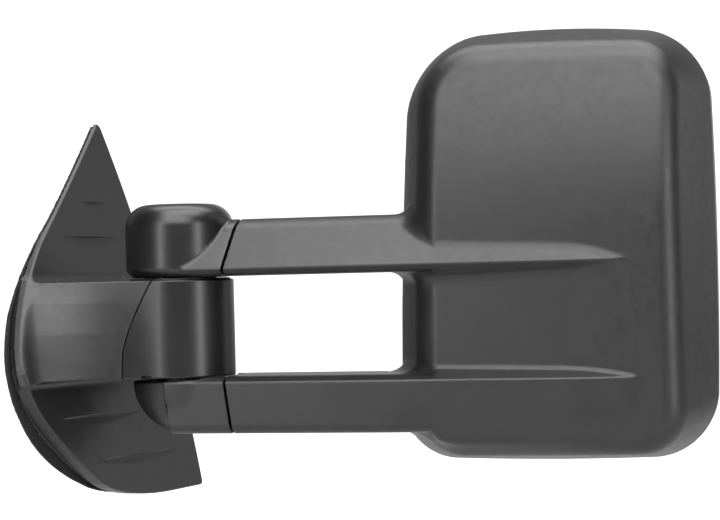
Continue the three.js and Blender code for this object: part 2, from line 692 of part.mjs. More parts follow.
// The plate that carries the glass, with the two collars that slide along the tubes.
function headFrame() {
  const windows = [
    roundedBox(85, 214, 70, 30, 8),
    roundedBox(85, 330, 70, 40, 8),
    roundedBox(-32, 271, 50, 130, 10),
  ];
  const plate = prism(roundedBox(9.5, 276, 269, 172, 22, windows), "y", FRAME_Y, FRAME_Y + FRAME_THICK, 4);
  let frame = plate;
  for (const z of [UPPER_TUBE_Z, LOWER_TUBE_Z]) {
    frame = frame.add(prism(roundedBox(TUBE_Y, z, 31, 35, 4), "x", COLLAR_START, COLLAR_END, 3));
  }
  for (const z of [UPPER_TUBE_Z, LOWER_TUBE_Z]) {
    const hole = roundedBox(TUBE_Y, z, TUBE_DEPTH + 5.2, TUBE_HEIGHT + 5.2, 4);
    frame = frame.subtract(prism(hole, "x", COLLAR_START - 1, COLLAR_END + 1, 3));
  }
  const holes = FRAME_SCREWS.map(([x, z]) => rod(SCREW_R + GAP, 0, 30, Y, [x, 0, z], 12));
  return cut(frame, ...holes);
}

function frameScrew([x, z]) {
  const top = FRAME_Y + FRAME_THICK + GAP;
  return join(rod(4.4, top, top + 2.6, Y, [x, 0, z], 16), rod(SCREW_R, 0, top + 1, Y, [x, 0, z], 12));
}

// The guide bush in a sleeve's mouth, and the one in a collar.
function tubeHole(z) {
  return roundedBox(TUBE_Y, z, TUBE_DEPTH + 2 * GAP, TUBE_HEIGHT + 2 * GAP, 4);
}
function mouthGlide(section, seam, z) {
  const outer = prism(section(WALL + GAP), "x", SEAM_X + 2, SEAM_X + 14).intersect(seam(SEAM_X + 3));
  return cut(outer, prism(tubeHole(z), "x", 20, 120, 3));
}
function collarGlide(z) {
  const outer = roundedBox(TUBE_Y, z, TUBE_DEPTH + 4.6, TUBE_HEIGHT + 4.6, 4, [tubeHole(z)]);
  return prism(outer, "x", COLLAR_END - 26, COLLAR_END, 3);
}

function glassPrism({ z, width, height, corner }, grow, from, to) {
  const shape = roundedBox(z, GLASS_X, height + 2 * grow, width + 2 * grow, corner + grow);
  return prism(shape, "y", from, to, 5);
}

function flatSection(inset, y) {
  return headOutline(1, inset).map(([x, z]) => [x, y, z]);
}

// The bezel: the rounded rear rim, the skirt inside the housing and a well round each glass.
function headBezel() {
  const rearRim = [[0.6, RIM_Y + GAP], [1.6, 55.5], [5, 60.4], [9, BEZEL_Y]];
  const skirt = WALL + 0.6 + GAP;
  const block = join(
    loft(rearRim.map(([inset, y]) => flatSection(inset, y))),
    loft([flatSection(skirt, 40), flatSection(skirt, 52)]),
  );
  const wells = [MAIN_GLASS, SPOT_GLASS].map((g) => glassPrism(g, GLASS_CLEAR + 2.2, 30, BEZEL_Y - 2.8));
  const hollow = cut(loft([flatSection(6, 38), flatSection(6, 57), flatSection(10, 59.2)]), ...wells);
  const openings = [MAIN_GLASS, SPOT_GLASS].map((g) => glassPrism(g, GLASS_CLEAR, 20, 70));
  return cut(block, hollow, ...openings);
}

// ---------------------------------------------------------------- glass pieces
const EAR_X = 22; // the fork's ears stand here, either side of the ball
const EAR_Z = 21.5; // the carrier's ears, above and below it
const PIN_R = 2;

function pivotBase({ z }) {
  const profile = [[15, 15.3], [15, 18], [7, 24], [5, 26], [5, 27], [7.6, 29.2], [9, 34], [6.4, 40.3], [0, 43]];
  const geometry = turned([[0, 15.3], ...profile.slice(0, 8), [0, 42.6]], Y, 24);
  const stud = solid(facingOut(mergeVertices(bareGeometry(geometry), 1e-3)));
  const at = [GLASS_X, 0, z];
  const parts = [stud.translate(at), box(GLASS_X - 25, GLASS_X + 25, 15.3, 18, z - 8, z + 8)];
  for (const side of [-1, 1]) {
    const x = GLASS_X + side * EAR_X;
    parts.push(box(x - 2, x + 2, 16, 37.4, z - 6, z + 6));
  }
  return cut(join(...parts), rod(PIN_R + GAP, -40, 40, X, [GLASS_X, BALL_Y, z], 16).subtract(
    rod(PIN_R + 1, -16, 16, X, [GLASS_X, BALL_Y, z], 16)));
}

function pivotRing({ z }) {
  const at = [GLASS_X, 0, z];
  const body = ring(13.2, 17, BALL_Y - 2.6, BALL_Y + 2.6, Y, at);
  const pins = [
    rod(PIN_R, -24.6, -14.5, X, [GLASS_X, BALL_Y, z], 8),
    rod(PIN_R, 14.5, 24.6, X, [GLASS_X, BALL_Y, z], 8),
    rod(PIN_R, z - 24, z - 14.5, Z, [GLASS_X, BALL_Y, 0], 8),
    rod(PIN_R, z + 14.5, z + 24, Z, [GLASS_X, BALL_Y, 0], 8),
  ];
  return join(body, ...pins);
}

const CARRIER_BACK = GLASS_Y - GLASS_THICK - GAP; // where the glass lies on its carrier
function carrier(glass) {
  const { z } = glass;
  const front = CARRIER_BACK - CARRIER_THICK;
  const lip = glassPrism(glass, 0, front, GLASS_Y - 1).subtract(glassPrism(glass, -1.8, 30, 70));
  let body = join(glassPrism(glass, -1, front, CARRIER_BACK), lip);
  const cup = ring(9.3, 12, BALL_Y - 3, front + 1, Y, [GLASS_X, 0, z], 24);
  body = body.add(cup);
  for (const side of [-1, 1]) {
    const ear = z + side * EAR_Z;
    body = body.add(box(GLASS_X - 5, GLASS_X + 5, BALL_Y - 4, front + 1, ear - 1.8, ear + 1.8));
  }
  return cut(body, rod(PIN_R + GAP, z - 40, z + 40, Z, [GLASS_X, BALL_Y, 0], 16).subtract(
    rod(PIN_R + 1, z - 16, z + 16, Z, [GLASS_X, BALL_Y, 0], 16)));
}

const SPOT_RADIUS = 1100; // the lower glass is convex
function glassPlate(glass, radius) {
  const { z, width, height, corner } = glass;
  const inset = { z, width: width - 4.2, height: height - 4.2, corner: corner - 2.1 };
  const flat = glassPrism(inset, 0, CARRIER_BACK + GAP, GLASS_Y + 10);
  const geometry = new THREE.BoxGeometry(width + 10, 20, height + 10, radius ? 8 : 1, 1, radius ? 4 : 1);
  const position = geometry.attributes.position;
  for (let i = 0; i < position.count; i++) {
    const [x, up] = [position.getX(i), position.getZ(i)];
    const sag = radius ? (x * x + up * up) / (2 * radius) : 0;
    if (position.getY(i) > 0) position.setY(i, 10 + (radius ? 4.6 : 0) - sag);
  }
  return flat.intersect(solid(geometry.translate(GLASS_X, GLASS_Y - 10, z)));
}

// ---------------------------------------------------------------- assembly
const mirror = new THREE.Group();
mirror.position.copy(DOOR_FACE).negate();

function add(name, finish, made) {
  const mesh = new THREE.Mesh(geometryOf(made), finish);
  mesh.name = name;
  mirror.add(mesh);
}

add("base_bracket", castAlloy, baseBracket());
add("sail_cover", texturedPlastic, sailCover());
add("neck_cover", satinPlastic, neckCover());
add("base_plate", innerPlastic, basePlate());
add("door_gasket", sealRubber, doorGasket());
STUDS.forEach((at, i) => add(`door_stud_${i + 1}`, zincSteel, doorStud(at)));
STUDS.forEach((at, i) => add(`door_nut_${i + 1}`, zincSteel, flangeNut(at)));
COVER_SCREWS.forEach((at, i) => add(`cover_screw_${i + 1}`, zincSteel, coverScrew(at)));
add("knuckle_bush_upper", nylon, ring(POST_R + GAP, BUSH_R - GAP, -16.4, KNUCKLE_TOP));
add("knuckle_bush_lower", nylon, ring(POST_R + GAP, BUSH_R - GAP, KNUCKLE_STEP, -16.8));
add("detent_ring", nylon, ring(POST_R + GAP, 26, KNUCKLE_TOP + GAP, -2.7));

add("upper_root_cover", satinPlastic, upperRootCover());
add("lower_root_cover", texturedPlastic, lowerRootCover());
add("upper_root_casting", castAlloy, join(
  armCasting(UPPER_TUBE_Z, 4, 29.7),
  ring(POST_R + GAP, 26, -2.4, 4.2),
));
add("lower_root_casting", castAlloy, armCasting(LOWER_TUBE_Z, -101.5, -79));
add("pivot_post", zincSteel, pivotPost());
add("post_bolt_upper", zincSteel, postBolt(POST_TOP, 37));
add("post_bolt_lower", zincSteel, postBolt(POST_BOTTOM, -108.4));
add("pivot_spring", springSteel, pivotSpring());
add("spring_washer", zincSteel, ring(POST_R + GAP, 22, -62, -59.4));
add("spring_nut", zincSteel, cut(rod(18, -69, -62.3, Z, [0, 0, 0], 6), rod(POST_R + GAP, -70, -60)));
add("upper_slide_tube", coatedSteel, slideTube(UPPER_TUBE_Z));
add("lower_slide_tube", coatedSteel, slideTube(LOWER_TUBE_Z));
add("upper_tube_plug", nylon, tubePlug(UPPER_TUBE_Z));
add("lower_tube_plug", nylon, tubePlug(LOWER_TUBE_Z));

add("head_housing", texturedPlastic, headHousing());
add("upper_sleeve_cover", texturedPlastic, sleeveCover(upperSection, upperSeam));
add("lower_sleeve_cover", texturedPlastic, sleeveCover(lowerSection, lowerSeam));
add("head_frame", innerPlastic, headFrame());
FRAME_SCREWS.forEach((at, i) => add(`frame_screw_${i + 1}`, zincSteel, frameScrew(at)));
add("upper_mouth_glide", innerPlastic, mouthGlide(upperSection, upperSeam, UPPER_TUBE_Z));
add("lower_mouth_glide", innerPlastic, mouthGlide(lowerSection, lowerSeam, LOWER_TUBE_Z));
add("upper_collar_glide", nylon, collarGlide(UPPER_TUBE_Z));
add("lower_collar_glide", nylon, collarGlide(LOWER_TUBE_Z));
add("head_bezel", satinPlastic, headBezel());

for (const [name, glass, radius] of [["main", MAIN_GLASS, 0], ["spot", SPOT_GLASS, SPOT_RADIUS]]) {
  add(`${name}_pivot_base`, innerPlastic, pivotBase(glass));
  add(`${name}_pivot_ring`, nylon, pivotRing(glass));
  add(`${name}_glass_carrier`, innerPlastic, carrier(glass));
  add(`${name}_glass`, mirrorSilver, glassPlate(glass, radius));
}

export default mirror;
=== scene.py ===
"""Extending, fold-away towing mirror: the moulded shells, the glass, the materials and the studio.

Lengths are worked out in millimetres from the fold axis, the part's drawing datum, and turned into
metres in the part's own frame by the mesh makers. +X is outboard, +Y the glass side, +Z up.
Most shells are drawn as signed distance fields, which blend into each other as mouldings do.
"""

import json
import math

import bpy
import numpy as np
from mathutils import Matrix, Vector


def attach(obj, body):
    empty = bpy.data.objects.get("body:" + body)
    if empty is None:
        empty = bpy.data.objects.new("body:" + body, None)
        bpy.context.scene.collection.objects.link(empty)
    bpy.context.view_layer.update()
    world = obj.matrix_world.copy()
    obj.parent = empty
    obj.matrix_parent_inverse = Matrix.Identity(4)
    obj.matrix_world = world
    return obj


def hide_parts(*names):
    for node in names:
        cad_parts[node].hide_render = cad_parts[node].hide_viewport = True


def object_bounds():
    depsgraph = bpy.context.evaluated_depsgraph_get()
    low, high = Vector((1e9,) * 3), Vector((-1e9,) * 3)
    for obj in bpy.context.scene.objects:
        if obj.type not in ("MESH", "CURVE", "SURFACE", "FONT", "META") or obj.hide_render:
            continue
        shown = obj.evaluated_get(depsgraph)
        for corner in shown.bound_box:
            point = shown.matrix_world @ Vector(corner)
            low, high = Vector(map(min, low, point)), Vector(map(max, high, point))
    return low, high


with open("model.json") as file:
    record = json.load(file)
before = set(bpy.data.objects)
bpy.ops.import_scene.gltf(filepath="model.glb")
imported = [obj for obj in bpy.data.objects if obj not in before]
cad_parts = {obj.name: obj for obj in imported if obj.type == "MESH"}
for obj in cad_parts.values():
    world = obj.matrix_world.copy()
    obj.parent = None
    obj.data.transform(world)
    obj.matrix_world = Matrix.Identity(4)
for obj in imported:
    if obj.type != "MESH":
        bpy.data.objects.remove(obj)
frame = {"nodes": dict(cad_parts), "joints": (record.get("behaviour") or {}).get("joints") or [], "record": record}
CAD_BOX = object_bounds()

MM = 0.001
JOINTS = {j["name"]: j for j in frame["joints"]}
PIVOT = Vector(JOINTS["fold"]["pos_m"])  # the datum in the part's frame


# ---------------------------------------------------------------- distance fields
# A field takes x, y and z as arrays that broadcast together and is negative inside.
def carve(*fields, radius=0.0):
    """What all the fields hold, with its outer edges rounded by the radius."""
    r = radius
    if np.all(np.asarray(r) <= 0):
        total = fields[0]
        for f in fields[1:]:
            total = np.maximum(total, f)
        return total
    beyond = sum(np.maximum(f + r, 0) ** 2 for f in fields)
    nearest = fields[0]
    for f in fields[1:]:
        nearest = np.maximum(nearest, f)
    return np.sqrt(beyond) + np.minimum(nearest + r, 0) - r


def weld(a, b, radius=0.0):
    """Both fields together, with a fillet of the radius where they meet."""
    if np.all(np.asarray(radius) <= 0):
        return np.minimum(a, b)
    return -carve(-a, -b, radius=radius)


def line(across, up, start, end):
    """Distance outside the straight line from start to end, whose solid lies to its left."""
    run, rise = end[0] - start[0], end[1] - start[1]
    length = math.hypot(run, rise)
    return ((across - start[0]) * rise - (up - start[1]) * run) / length


def smooth(t):
    t = np.clip(t, 0, 1)
    return t * t * (3 - 2 * t)


def outline_field(points):
    """The distance from a closed outline of 2D points, negative inside."""
    ends = np.roll(points, -1, axis=0)

    def field(across, up):
        across, up = np.broadcast_arrays(across, up)
        shape = across.shape
        at = np.stack([across.ravel(), up.ravel()], axis=1)
        nearest = np.full(len(at), 1e9)
        inside = np.zeros(len(at), bool)
        for (ax, ay), (bx, by) in zip(points, ends):
            edge = np.array([bx - ax, by - ay])
            off = at - (ax, ay)
            share = np.clip(off @ edge / (edge @ edge), 0, 1)
            gap = off - share[:, None] * edge
            nearest = np.minimum(nearest, (gap**2).sum(1))
            crosses = (at[:, 1] < ay) != (at[:, 1] < by)
            where = ax + (at[:, 1] - ay) * (bx - ax) / (by - ay if by != ay else 1e-9)
            inside ^= crosses & (at[:, 0] < where)
        return (np.sqrt(nearest) * np.where(inside, -1, 1)).reshape(shape)

    return field


# ---------------------------------------------------------------- meshes from fields
def planes(*stretches):
    """Grid planes along one axis: stretches of (start, end, spacing) that follow each other."""
    found = []
    for start, end, spacing in stretches:
        count = max(1, round((end - start) / spacing))
        found += list(np.linspace(start, end, count, endpoint=False))
    return np.array(found + [stretches[-1][1]])


def edge_groups():
    """For each pattern of inside corners of a cell, which of its crossed edges share a vertex.

    Corner i lies at (i & 1, i >> 1 & 1, i >> 2 & 1). Edge 4 * axis + u + 2 * v runs along the axis
    at offsets u and v on the next two axes. A thin wall inside one cell keeps its two faces apart.
    """
    bits = (1, 2, 4)
    ends = []
    for axis in range(3):
        b, c = bits[(axis + 1) % 3], bits[(axis + 2) % 3]
        ends += [(u * b + v * c, u * b + v * c + bits[axis]) for v in (0, 1) for u in (0, 1)]
    sides = [
        [e for e in range(12) if all((k & bit > 0) == high for k in ends[e])]
        for bit in bits
        for high in (0, 1)
    ]
    table = np.zeros((256, 12), int)
    for pattern in range(256):
        inside = [pattern >> k & 1 for k in range(8)]
        crossed = [e for e in range(12) if inside[ends[e][0]] != inside[ends[e][1]]]
        group = {e: e for e in crossed}
        for edges in sides:
            cut = [e for e in edges if e in group]
            pairs = [cut] if len(cut) == 2 else []
            if len(cut) == 4:
                outer = {k for e in cut for k in ends[e] if not inside[k]}
                pairs = [[e for e in cut if k in ends[e]] for k in outer]
            for one, other in pairs:
                keep, gone = group[one], group[other]
                group = {e: keep if g == gone else g for e, g in group.items()}
        names = sorted(set(group.values()))
        for e, g in group.items():
            table[pattern, e] = names.index(g)
    return table


EDGE_GROUPS = edge_groups()


def surface(field, xs, ys, zs, place):
    """The vertices and quads of field = 0: a vertex in each grid cell for each sheet that crosses it."""
    value = np.asarray(field(*place(xs[:, None, None], ys[None, :, None], zs[None, None, :])))
    value = np.broadcast_to(value, (len(xs), len(ys), len(zs)))
    inside = value < 0
    for axis in range(3):
        for end in (0, -1):
            if inside.take(end, axis).any():
                raise ValueError(f"the solid reaches the grid's {'xyz'[axis]} {('start', 'end')[end]}")
    corners = [
        inside[i : len(xs) - 1 + i, j : len(ys) - 1 + j, k : len(zs) - 1 + k] * (1 << (i + 2 * j + 4 * k))
        for i in (0, 1)
        for j in (0, 1)
        for k in (0, 1)
    ]
    pattern = sum(corners)
    grid = [xs, ys, zs]
    keys, crossings, loops = [], [], []
    for axis in range(3):
        near, far = [slice(None)] * 3, [slice(None)] * 3
        near[axis], far[axis] = slice(None, -1), slice(1, None)
        change = inside[tuple(near)] != inside[tuple(far)]
        at = np.argwhere(change)
        v0, v1 = value[tuple(near)][change], value[tuple(far)][change]
        spot = np.stack([grid[k][at[:, k]] for k in range(3)], axis=1)
        spot[:, axis] += v0 / (v0 - v1) * np.diff(grid[axis])[at[:, axis]]
        b, c = (axis + 1) % 3, (axis + 2) % 3
        around = []
        for u, v in ((1, 1), (0, 1), (0, 0), (1, 0)):
            cell = at.copy()
            cell[:, b] -= u
            cell[:, c] -= v
            group = EDGE_GROUPS[pattern[tuple(cell.T)], 4 * axis + u + 2 * v]
            around.append(np.ravel_multi_index(tuple(cell.T), pattern.shape) * 4 + group)
        around = np.stack(around, axis=1)
        entering = ~inside[tuple(near)][change]
        around[entering] = around[entering][:, ::-1]
        loops.append(around)
        keys.append(around.ravel())
        crossings.append(np.repeat(spot, 4, axis=0))
    ids, index = np.unique(np.concatenate(keys), return_inverse=True)
    where = np.concatenate(crossings)
    count = np.bincount(index)
    at = np.stack([np.bincount(index, where[:, k]) / count for k in range(3)], axis=1)
    faces = np.searchsorted(ids, np.concatenate(loops))
    return np.stack(np.broadcast_arrays(*place(*at.T)), axis=1), faces


def square(x, y, z):
    """The plain grid. Other placements slide its planes along to follow a slanting face."""
    return x, y, z


SLOPE_STEP = 0.02


def slope(field, at):
    """The field and its gradient at points."""
    x, y, z = at.T
    steps = []
    for axis in range(3):
        ahead, behind = [x, y, z], [x, y, z]
        ahead[axis] = ahead[axis] + SLOPE_STEP
        behind[axis] = behind[axis] - SLOPE_STEP
        steps.append((field(*ahead) - field(*behind)) / (2 * SLOPE_STEP))
    return field(x, y, z), np.stack(steps, axis=1)


def settle(field, at, reach, rounds=4):
    """Moves points onto field = 0, each by no more than the reach."""
    start = at.copy()
    for _ in range(rounds):
        value, grad = slope(field, at)
        size = np.maximum((grad**2).sum(1), 0.05)
        at = at - (value / size)[:, None] * grad
        off = at - start
        far = np.linalg.norm(off, axis=1)
        at = start + off * np.minimum(1, reach / np.maximum(far, 1e-9))[:, None]
    return at


def mesh_object(name, points, faces, body, finish, normals=None):
    """A piece from millimetre points about the datum, in place on its body."""
    mesh = bpy.data.meshes.new(name)
    placed = np.asarray(points) * MM + np.array(PIVOT)
    mesh.from_pydata(placed.tolist(), [], np.asarray(faces).tolist())
    mesh.update()
    mesh.shade_smooth()
    if normals is not None:
        mesh.normals_split_custom_set_from_vertices(normals.tolist())
    mesh.materials.append(FINISHES[finish])
    piece = bpy.data.objects.new(name, mesh)
    bpy.context.scene.collection.objects.link(piece)
    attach(piece, body)
    return piece


def moulded(name, field, grid, body, finish, stands_for=(), place=square, reach=0.8):
    """A piece whose surface is field = 0 over the grid's three lists of planes."""
    at, faces = surface(field, *grid, place)
    at = settle(field, at, reach)
    _, grad = slope(field, at)
    normals = grad / np.maximum(np.linalg.norm(grad, axis=1), 1e-9)[:, None]
    piece = mesh_object(name, at, faces, body, finish, normals)
    if stands_for:
        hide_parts(*stands_for)
    return piece


# ---------------------------------------------------------------- arms
WALL = 2.8
CAP_R = 39.5
CAP_TOP = 52
SEAM_X = 45  # where the sliding sleeves meet the arm roots
SEAM_HALF = 0.8
SEAM_LEAN = 2.4 / 22  # the seams slant, one each way
UPPER_MID, LOWER_MID = 19, -94  # the arms' middle heights
SPLIT_Y, SPLIT_X = 10, 151  # the sleeves' rear covers
TUBE_Y = -3
TUBE_Z = {"upper": 17, "lower": -94}
TUBE_DEPTH, TUBE_HEIGHT, TUBE_WALL = 20, 24, 2
TUBE_START, TUBE_END = 30.3, 330
GAP = 0.3
CREASE = 1.3  # radius of the arms' front creases


def upper_arm(y, z):
    """The upper arm's section: a tall front leaning back above a chamfered chin."""
    top = carve(
        line(y, z, (26, 4), (8, 41)),
        line(y, z, (8, 41), (-9, 41)),
        line(y, z, (-9, 41), (-38, 4)),
        radius=11,
    )
    chin = carve(
        line(y, z, (-38, 4), (-33, -1.3)),
        line(y, z, (-33, -1.3), (22, -1.3)),
        line(y, z, (22, -1.3), (26, 4)),
        radius=2,
    )
    return carve(top, chin, radius=CREASE)


def lower_front(x, y, z):
    """The lower arm's front: nearly upright on the arm, leaning back more across the head."""
    slope = 0.078 + 0.142 * smooth((x - 158) / 60)
    return (-38 + slope * (-76.5 - z) - y) / np.hypot(1, slope)


def lower_arm(x, y, z):
    """The lower arm's section: an upright front below a narrow sloping top."""
    box = carve(
        lower_front(x, y, z),
        line(y, z, (-35, -113.5), (23, -113.5)),
        line(y, z, (23, -113.5), (26, -76.5)),
        radius=7,
    )
    top = carve(
        line(y, z, (26, -76.5), (21, -72.5)),
        line(y, z, (21, -72.5), (-31, -72.5)),
        line(y, z, (-31, -72.5), (-38, -76.5)),
        radius=1.6,
    )
    return carve(box, top, radius=CREASE)


def seam_line(z, arm):
    """x of the middle of the gap between a sleeve and its root."""
    if arm == "upper":
        return SEAM_X + SEAM_LEAN * (z - UPPER_MID)
    return SEAM_X - SEAM_LEAN * (z - LOWER_MID)


# ---------------------------------------------------------------- head
GLASS_X = 271.5
WIDEST_Y, RIM_Y, BEZEL_Y = 34, 50, 62
FACE_FILLET = 12
# Corners (x, z, radius) of the widest outline and of the outline where the walls meet the face,
# from the bottom inboard one anticlockwise.
RIM_CORNERS = np.array([(156.5, -135.5, 40), (382.5, -134.8, 43), (382, 160, 43), (169, 161, 52)])
FACE_CORNERS = np.array([(183, -130, 34), (363, -129, 30), (362, 152, 32), (188, 155, 38)])
RIM_BOWS = (2.8, 3.4, 9.5, 3.4)  # bottom, outboard, top, inboard
HEAD_MID, HEAD_HALF = (271, 16), (112, 152)
FACE_Z = 20  # the face is upright at this height


def head_face(x, z):
    """y of the face: it turns forward going outboard and leans back towards the top."""
    lean = np.where(z > FACE_Z, 0.0011, 0.0003)
    return -30 - 0.03 * (x - GLASS_X) + lean * (z - FACE_Z) ** 2


def head_sides(x, y, z):
    """Distance outside the head's four walls, whose corners are round."""
    face = head_face(x, z)
    depth = np.clip((y - face) / (WIDEST_Y - face), 0, 1)
    spread = depth * (1.25 - 0.25 * depth)
    corners = [[f + (r - f) * spread for f, r in zip(*pair)] for pair in zip(FACE_CORNERS, RIM_CORNERS)]
    across = (x - HEAD_MID[0]) / HEAD_HALF[0]
    up = (z - HEAD_MID[1]) / HEAD_HALF[1]
    bow = [np.maximum(0, 1 - across**2), np.maximum(0, 1 - up**2)]
    walls = []
    for i in range(4):
        start, end = corners[i], corners[(i + 1) % 4]
        run, rise = end[0] - start[0], end[1] - start[1]
        wall = ((x - start[0]) * rise - (z - start[1]) * run) / np.hypot(run, rise)
        walls.append(wall - RIM_BOWS[i] * bow[i % 2] * spread)
    left, low = x < HEAD_MID[0], z < HEAD_MID[1]
    below = np.where(left, corners[0][2], corners[1][2])
    above = np.where(left, corners[3][2], corners[2][2])
    pull = 0.6 * (np.maximum(0, y - WIDEST_Y) / (RIM_Y - WIDEST_Y)) ** 2
    return carve(*walls, radius=np.where(low, below, above)) + pull


RIDGE_END = 345


def sink(x):
    """How far the ridges have sunk into the face at x."""
    return 10 * (np.maximum(0, x - 285) / 53) ** 2


def head_front(x, y, z):
    """The face with the two ridges that carry the arms' creases out across it."""
    face = head_face(x, z) - y
    at = y - sink(x)
    upper = carve(line(at, z, (-9, 41), (-38, 4)), line(at, z, (-38, 4), (-33, -1.3)), radius=CREASE)
    upper = carve(upper, x - RIDGE_END, radius=4)
    lower = carve(lower_front(x, at, z), line(at, z, (-24, -67.5), (-38, -76.5)), radius=CREASE)
    lower = carve(lower, -128 - z, x - RIDGE_END, radius=10)
    return weld(weld(face, upper, 2.5), lower, 2.5)


def head_solid(x, y, z):
    return carve(head_sides(x, y, z), head_front(x, y, z), radius=FACE_FILLET)


def head_hollow(x, y, z):
    walls = head_sides(x, y, z) + WALL
    return carve(walls, head_face(x, z) - y + WALL, radius=FACE_FILLET - WALL)


ARM_END = 204  # inside the head, the arms have run into the ridges here


def arms_and_head(x, y, z):
    """The head with both sleeves, open at the sleeves' mouths and at the rear."""
    upper = carve(upper_arm(y, z), seam_line(z, "upper") + SEAM_HALF - x, radius=0.7)
    lower = carve(lower_arm(x, y, z), seam_line(z, "lower") + SEAM_HALF - x, radius=0.7)
    arms = np.maximum(np.minimum(upper, lower), x - ARM_END)
    fillet = 12 * smooth((y + 31) / 16) * smooth((202 - x) / 16) + 0.01
    outer = weld(head_solid(x, y, z), arms, fillet)
    channels = np.minimum(upper_arm(y, z), lower_arm(x, y, z)) + WALL
    hollow = np.minimum(head_hollow(x, y, z), np.maximum(channels, x - 188))
    return np.maximum(outer, -hollow)


def housing(x, y, z):
    whole = carve(arms_and_head(x, y, z), y - RIM_Y, radius=0.6)
    return np.maximum(whole, np.minimum(SPLIT_X - x, y - SPLIT_Y))


def sleeve_cover(x, y, z):
    whole = arms_and_head(x, y, z)
    return carve(whole, x - SPLIT_X + GAP, SPLIT_Y + GAP - y, radius=0.3)


CREASE_STEP = 0.8
SHELL_STEP = 2.3
housing_x = planes((41, 50, 0.7), (50, 138, 8), (138, 149, 3), (149, 389, SHELL_STEP))
housing_y = planes((-41, -33, CREASE_STEP), (-33, 47.5, SHELL_STEP), (47.5, 52, 0.7))
arm_planes = [
    (-118, -79, SHELL_STEP),
    (-79, -69, CREASE_STEP),
    (-69, -4, SHELL_STEP),
    (-4, 7, CREASE_STEP),
    (7, 43, SHELL_STEP),
]
housing_z = planes((-141, -118, SHELL_STEP), *arm_planes, (43, 175, SHELL_STEP))
cover_x = planes((41, 50, 0.7), (50, 142, 8), (142, 153, 2))
cover_y = planes((9, 12, 0.6), (12, 29, 1.6))


# ---------------------------------------------------------------- arm roots
BOWL_X = 3.5
BOWL_R, BOWL_DEEP = 39.5, 39.2
BOWL_TOP = -76
CAP_SHOULDER = 17


def upper_root(x, y, z):
    """The pivot cap and the stub of arm that leaves it."""
    around = np.hypot(x, y) - CAP_R
    cap = carve(around, z - CAP_TOP, radius=CAP_SHOULDER)
    under = line(np.hypot(x, y), z, (CAP_R - 5, -1.3), (CAP_R, 4))
    cap = carve(cap, carve(under, -1.3 - z, radius=1.5), radius=CREASE)
    arm = carve(upper_arm(y, z), x - seam_line(z, "upper") + SEAM_HALF, radius=0.7)
    outer = weld(cap, np.maximum(arm, -x), 1.4)
    hollow = carve(around + WALL, z - CAP_TOP + 3, radius=CAP_SHOULDER - WALL)
    hollow = np.minimum(hollow, np.maximum(upper_arm(y, z) + WALL, 4 - x))
    floor = np.minimum(2.2 - z, np.hypot(x, y) - 27.5)
    return np.maximum(outer, -np.maximum(hollow, floor))


def lower_root(x, y, z):
    """The bowl under the pivot and the stub of arm that leaves it."""
    reach = np.sqrt(((x - BOWL_X) / BOWL_R) ** 2 + (y / BOWL_R) ** 2 + ((z - BOWL_TOP) / BOWL_DEEP) ** 2)
    bowl = (reach - 1) * BOWL_R
    arm = carve(lower_arm(x, y, z), x - seam_line(z, "lower") + SEAM_HALF, radius=0.7)
    swing = CAP_R + 1.5 - np.hypot(x, y)  # the neck turns above the arm's top here
    arm = np.maximum(arm, np.maximum(-x, np.minimum(swing, z + 75)))
    outer = weld(carve(bowl, z - BOWL_TOP + 0.3, radius=1.2), arm, 2.5)
    channel = np.maximum(lower_arm(x, y, z) + WALL, np.maximum(4 - x, z + 77.8))
    hollow = np.minimum(bowl + WALL, channel)
    opening = np.maximum(hollow, np.minimum(z + 77.8, np.hypot(x, y) - 22))
    return np.maximum(outer, -opening)


root_x = planes((-42, 40, 1.7), (40, 49, 0.7))
root_y = planes((-42, -33, CREASE_STEP), (-33, 42, 1.7))
upper_root_z = planes((-3, 7, CREASE_STEP), (7, 53, 1.7))
lower_root_z = planes((-117, -79, 1.7), (-79, -69, CREASE_STEP))


# ---------------------------------------------------------------- door side
SWEEP = math.radians(12.5)  # the door plane, turned from square to the arms
NECK_R = 38.9
NECK_TOP, NECK_BOTTOM = -3, -73.5
TRACK_TOP = -1.9
SPLIT_LOW, SPLIT_RUN = -31, 27  # the neck's parting line: x at its foot and how far it runs out


def sail_face(y, z):
    """x of the sail's outer face."""
    return -88.8 - 0.295 * z - 0.00037 * z * z + math.tan(SWEEP) * y


def between(z, *stations):
    """The value at z of a line through (z, value) stations, lowest z first."""
    return np.interp(z, [s[0] for s in stations], [s[1] for s in stations])


def cover_depth(z):
    return between(z, (-160, 11), (-25, 8.5), (45, 2.8))


def plate_depth(z):
    return between(z, (-160, 16.5), (-100, 11.6), (-25, 10.2), (45, 3.6))


def seal_depth(z):
    return between(z, (-160, 21.5), (-100, 15.9), (-25, 14.2), (20, 8.4), (60, 6.6))


def bezier(points, steps):
    """Points along a cubic curve, without its first."""
    p = np.array(points, float)
    t = np.linspace(0, 1, steps + 1)[1:, None]
    return (1 - t) ** 3 * p[0] + 3 * (1 - t) ** 2 * t * p[1] + 3 * (1 - t) * t**2 * p[2] + t**3 * p[3]


def sail_outline(f=0):
    """The side view as (y, z): the window edges and the long sweep along the door, fuller by f."""
    tail = bezier([(112, -165), (114.5, -165), (116, -163.5), (116, -161)], 4)
    straight = [(116, 119), (114.6, 122), (111.5, 122), (-8, 34)]
    widest = (-82.5 - 0.5 * f, -68)
    front = bezier([(-8, 34), (-44, 8), (-80 - 0.5 * f, -38), widest], 12)
    belly = bezier([widest, (-84 - f, -98 - f), (-54 - 2 * f, -124 - 1.6 * f), (-16, -151 - 0.3 * f)], 12)
    foot = bezier([(-16, -151 - 0.3 * f), (2, -162), (40, -165), (70, -165)], 8)
    return np.vstack([tail, straight, front, belly, foot])


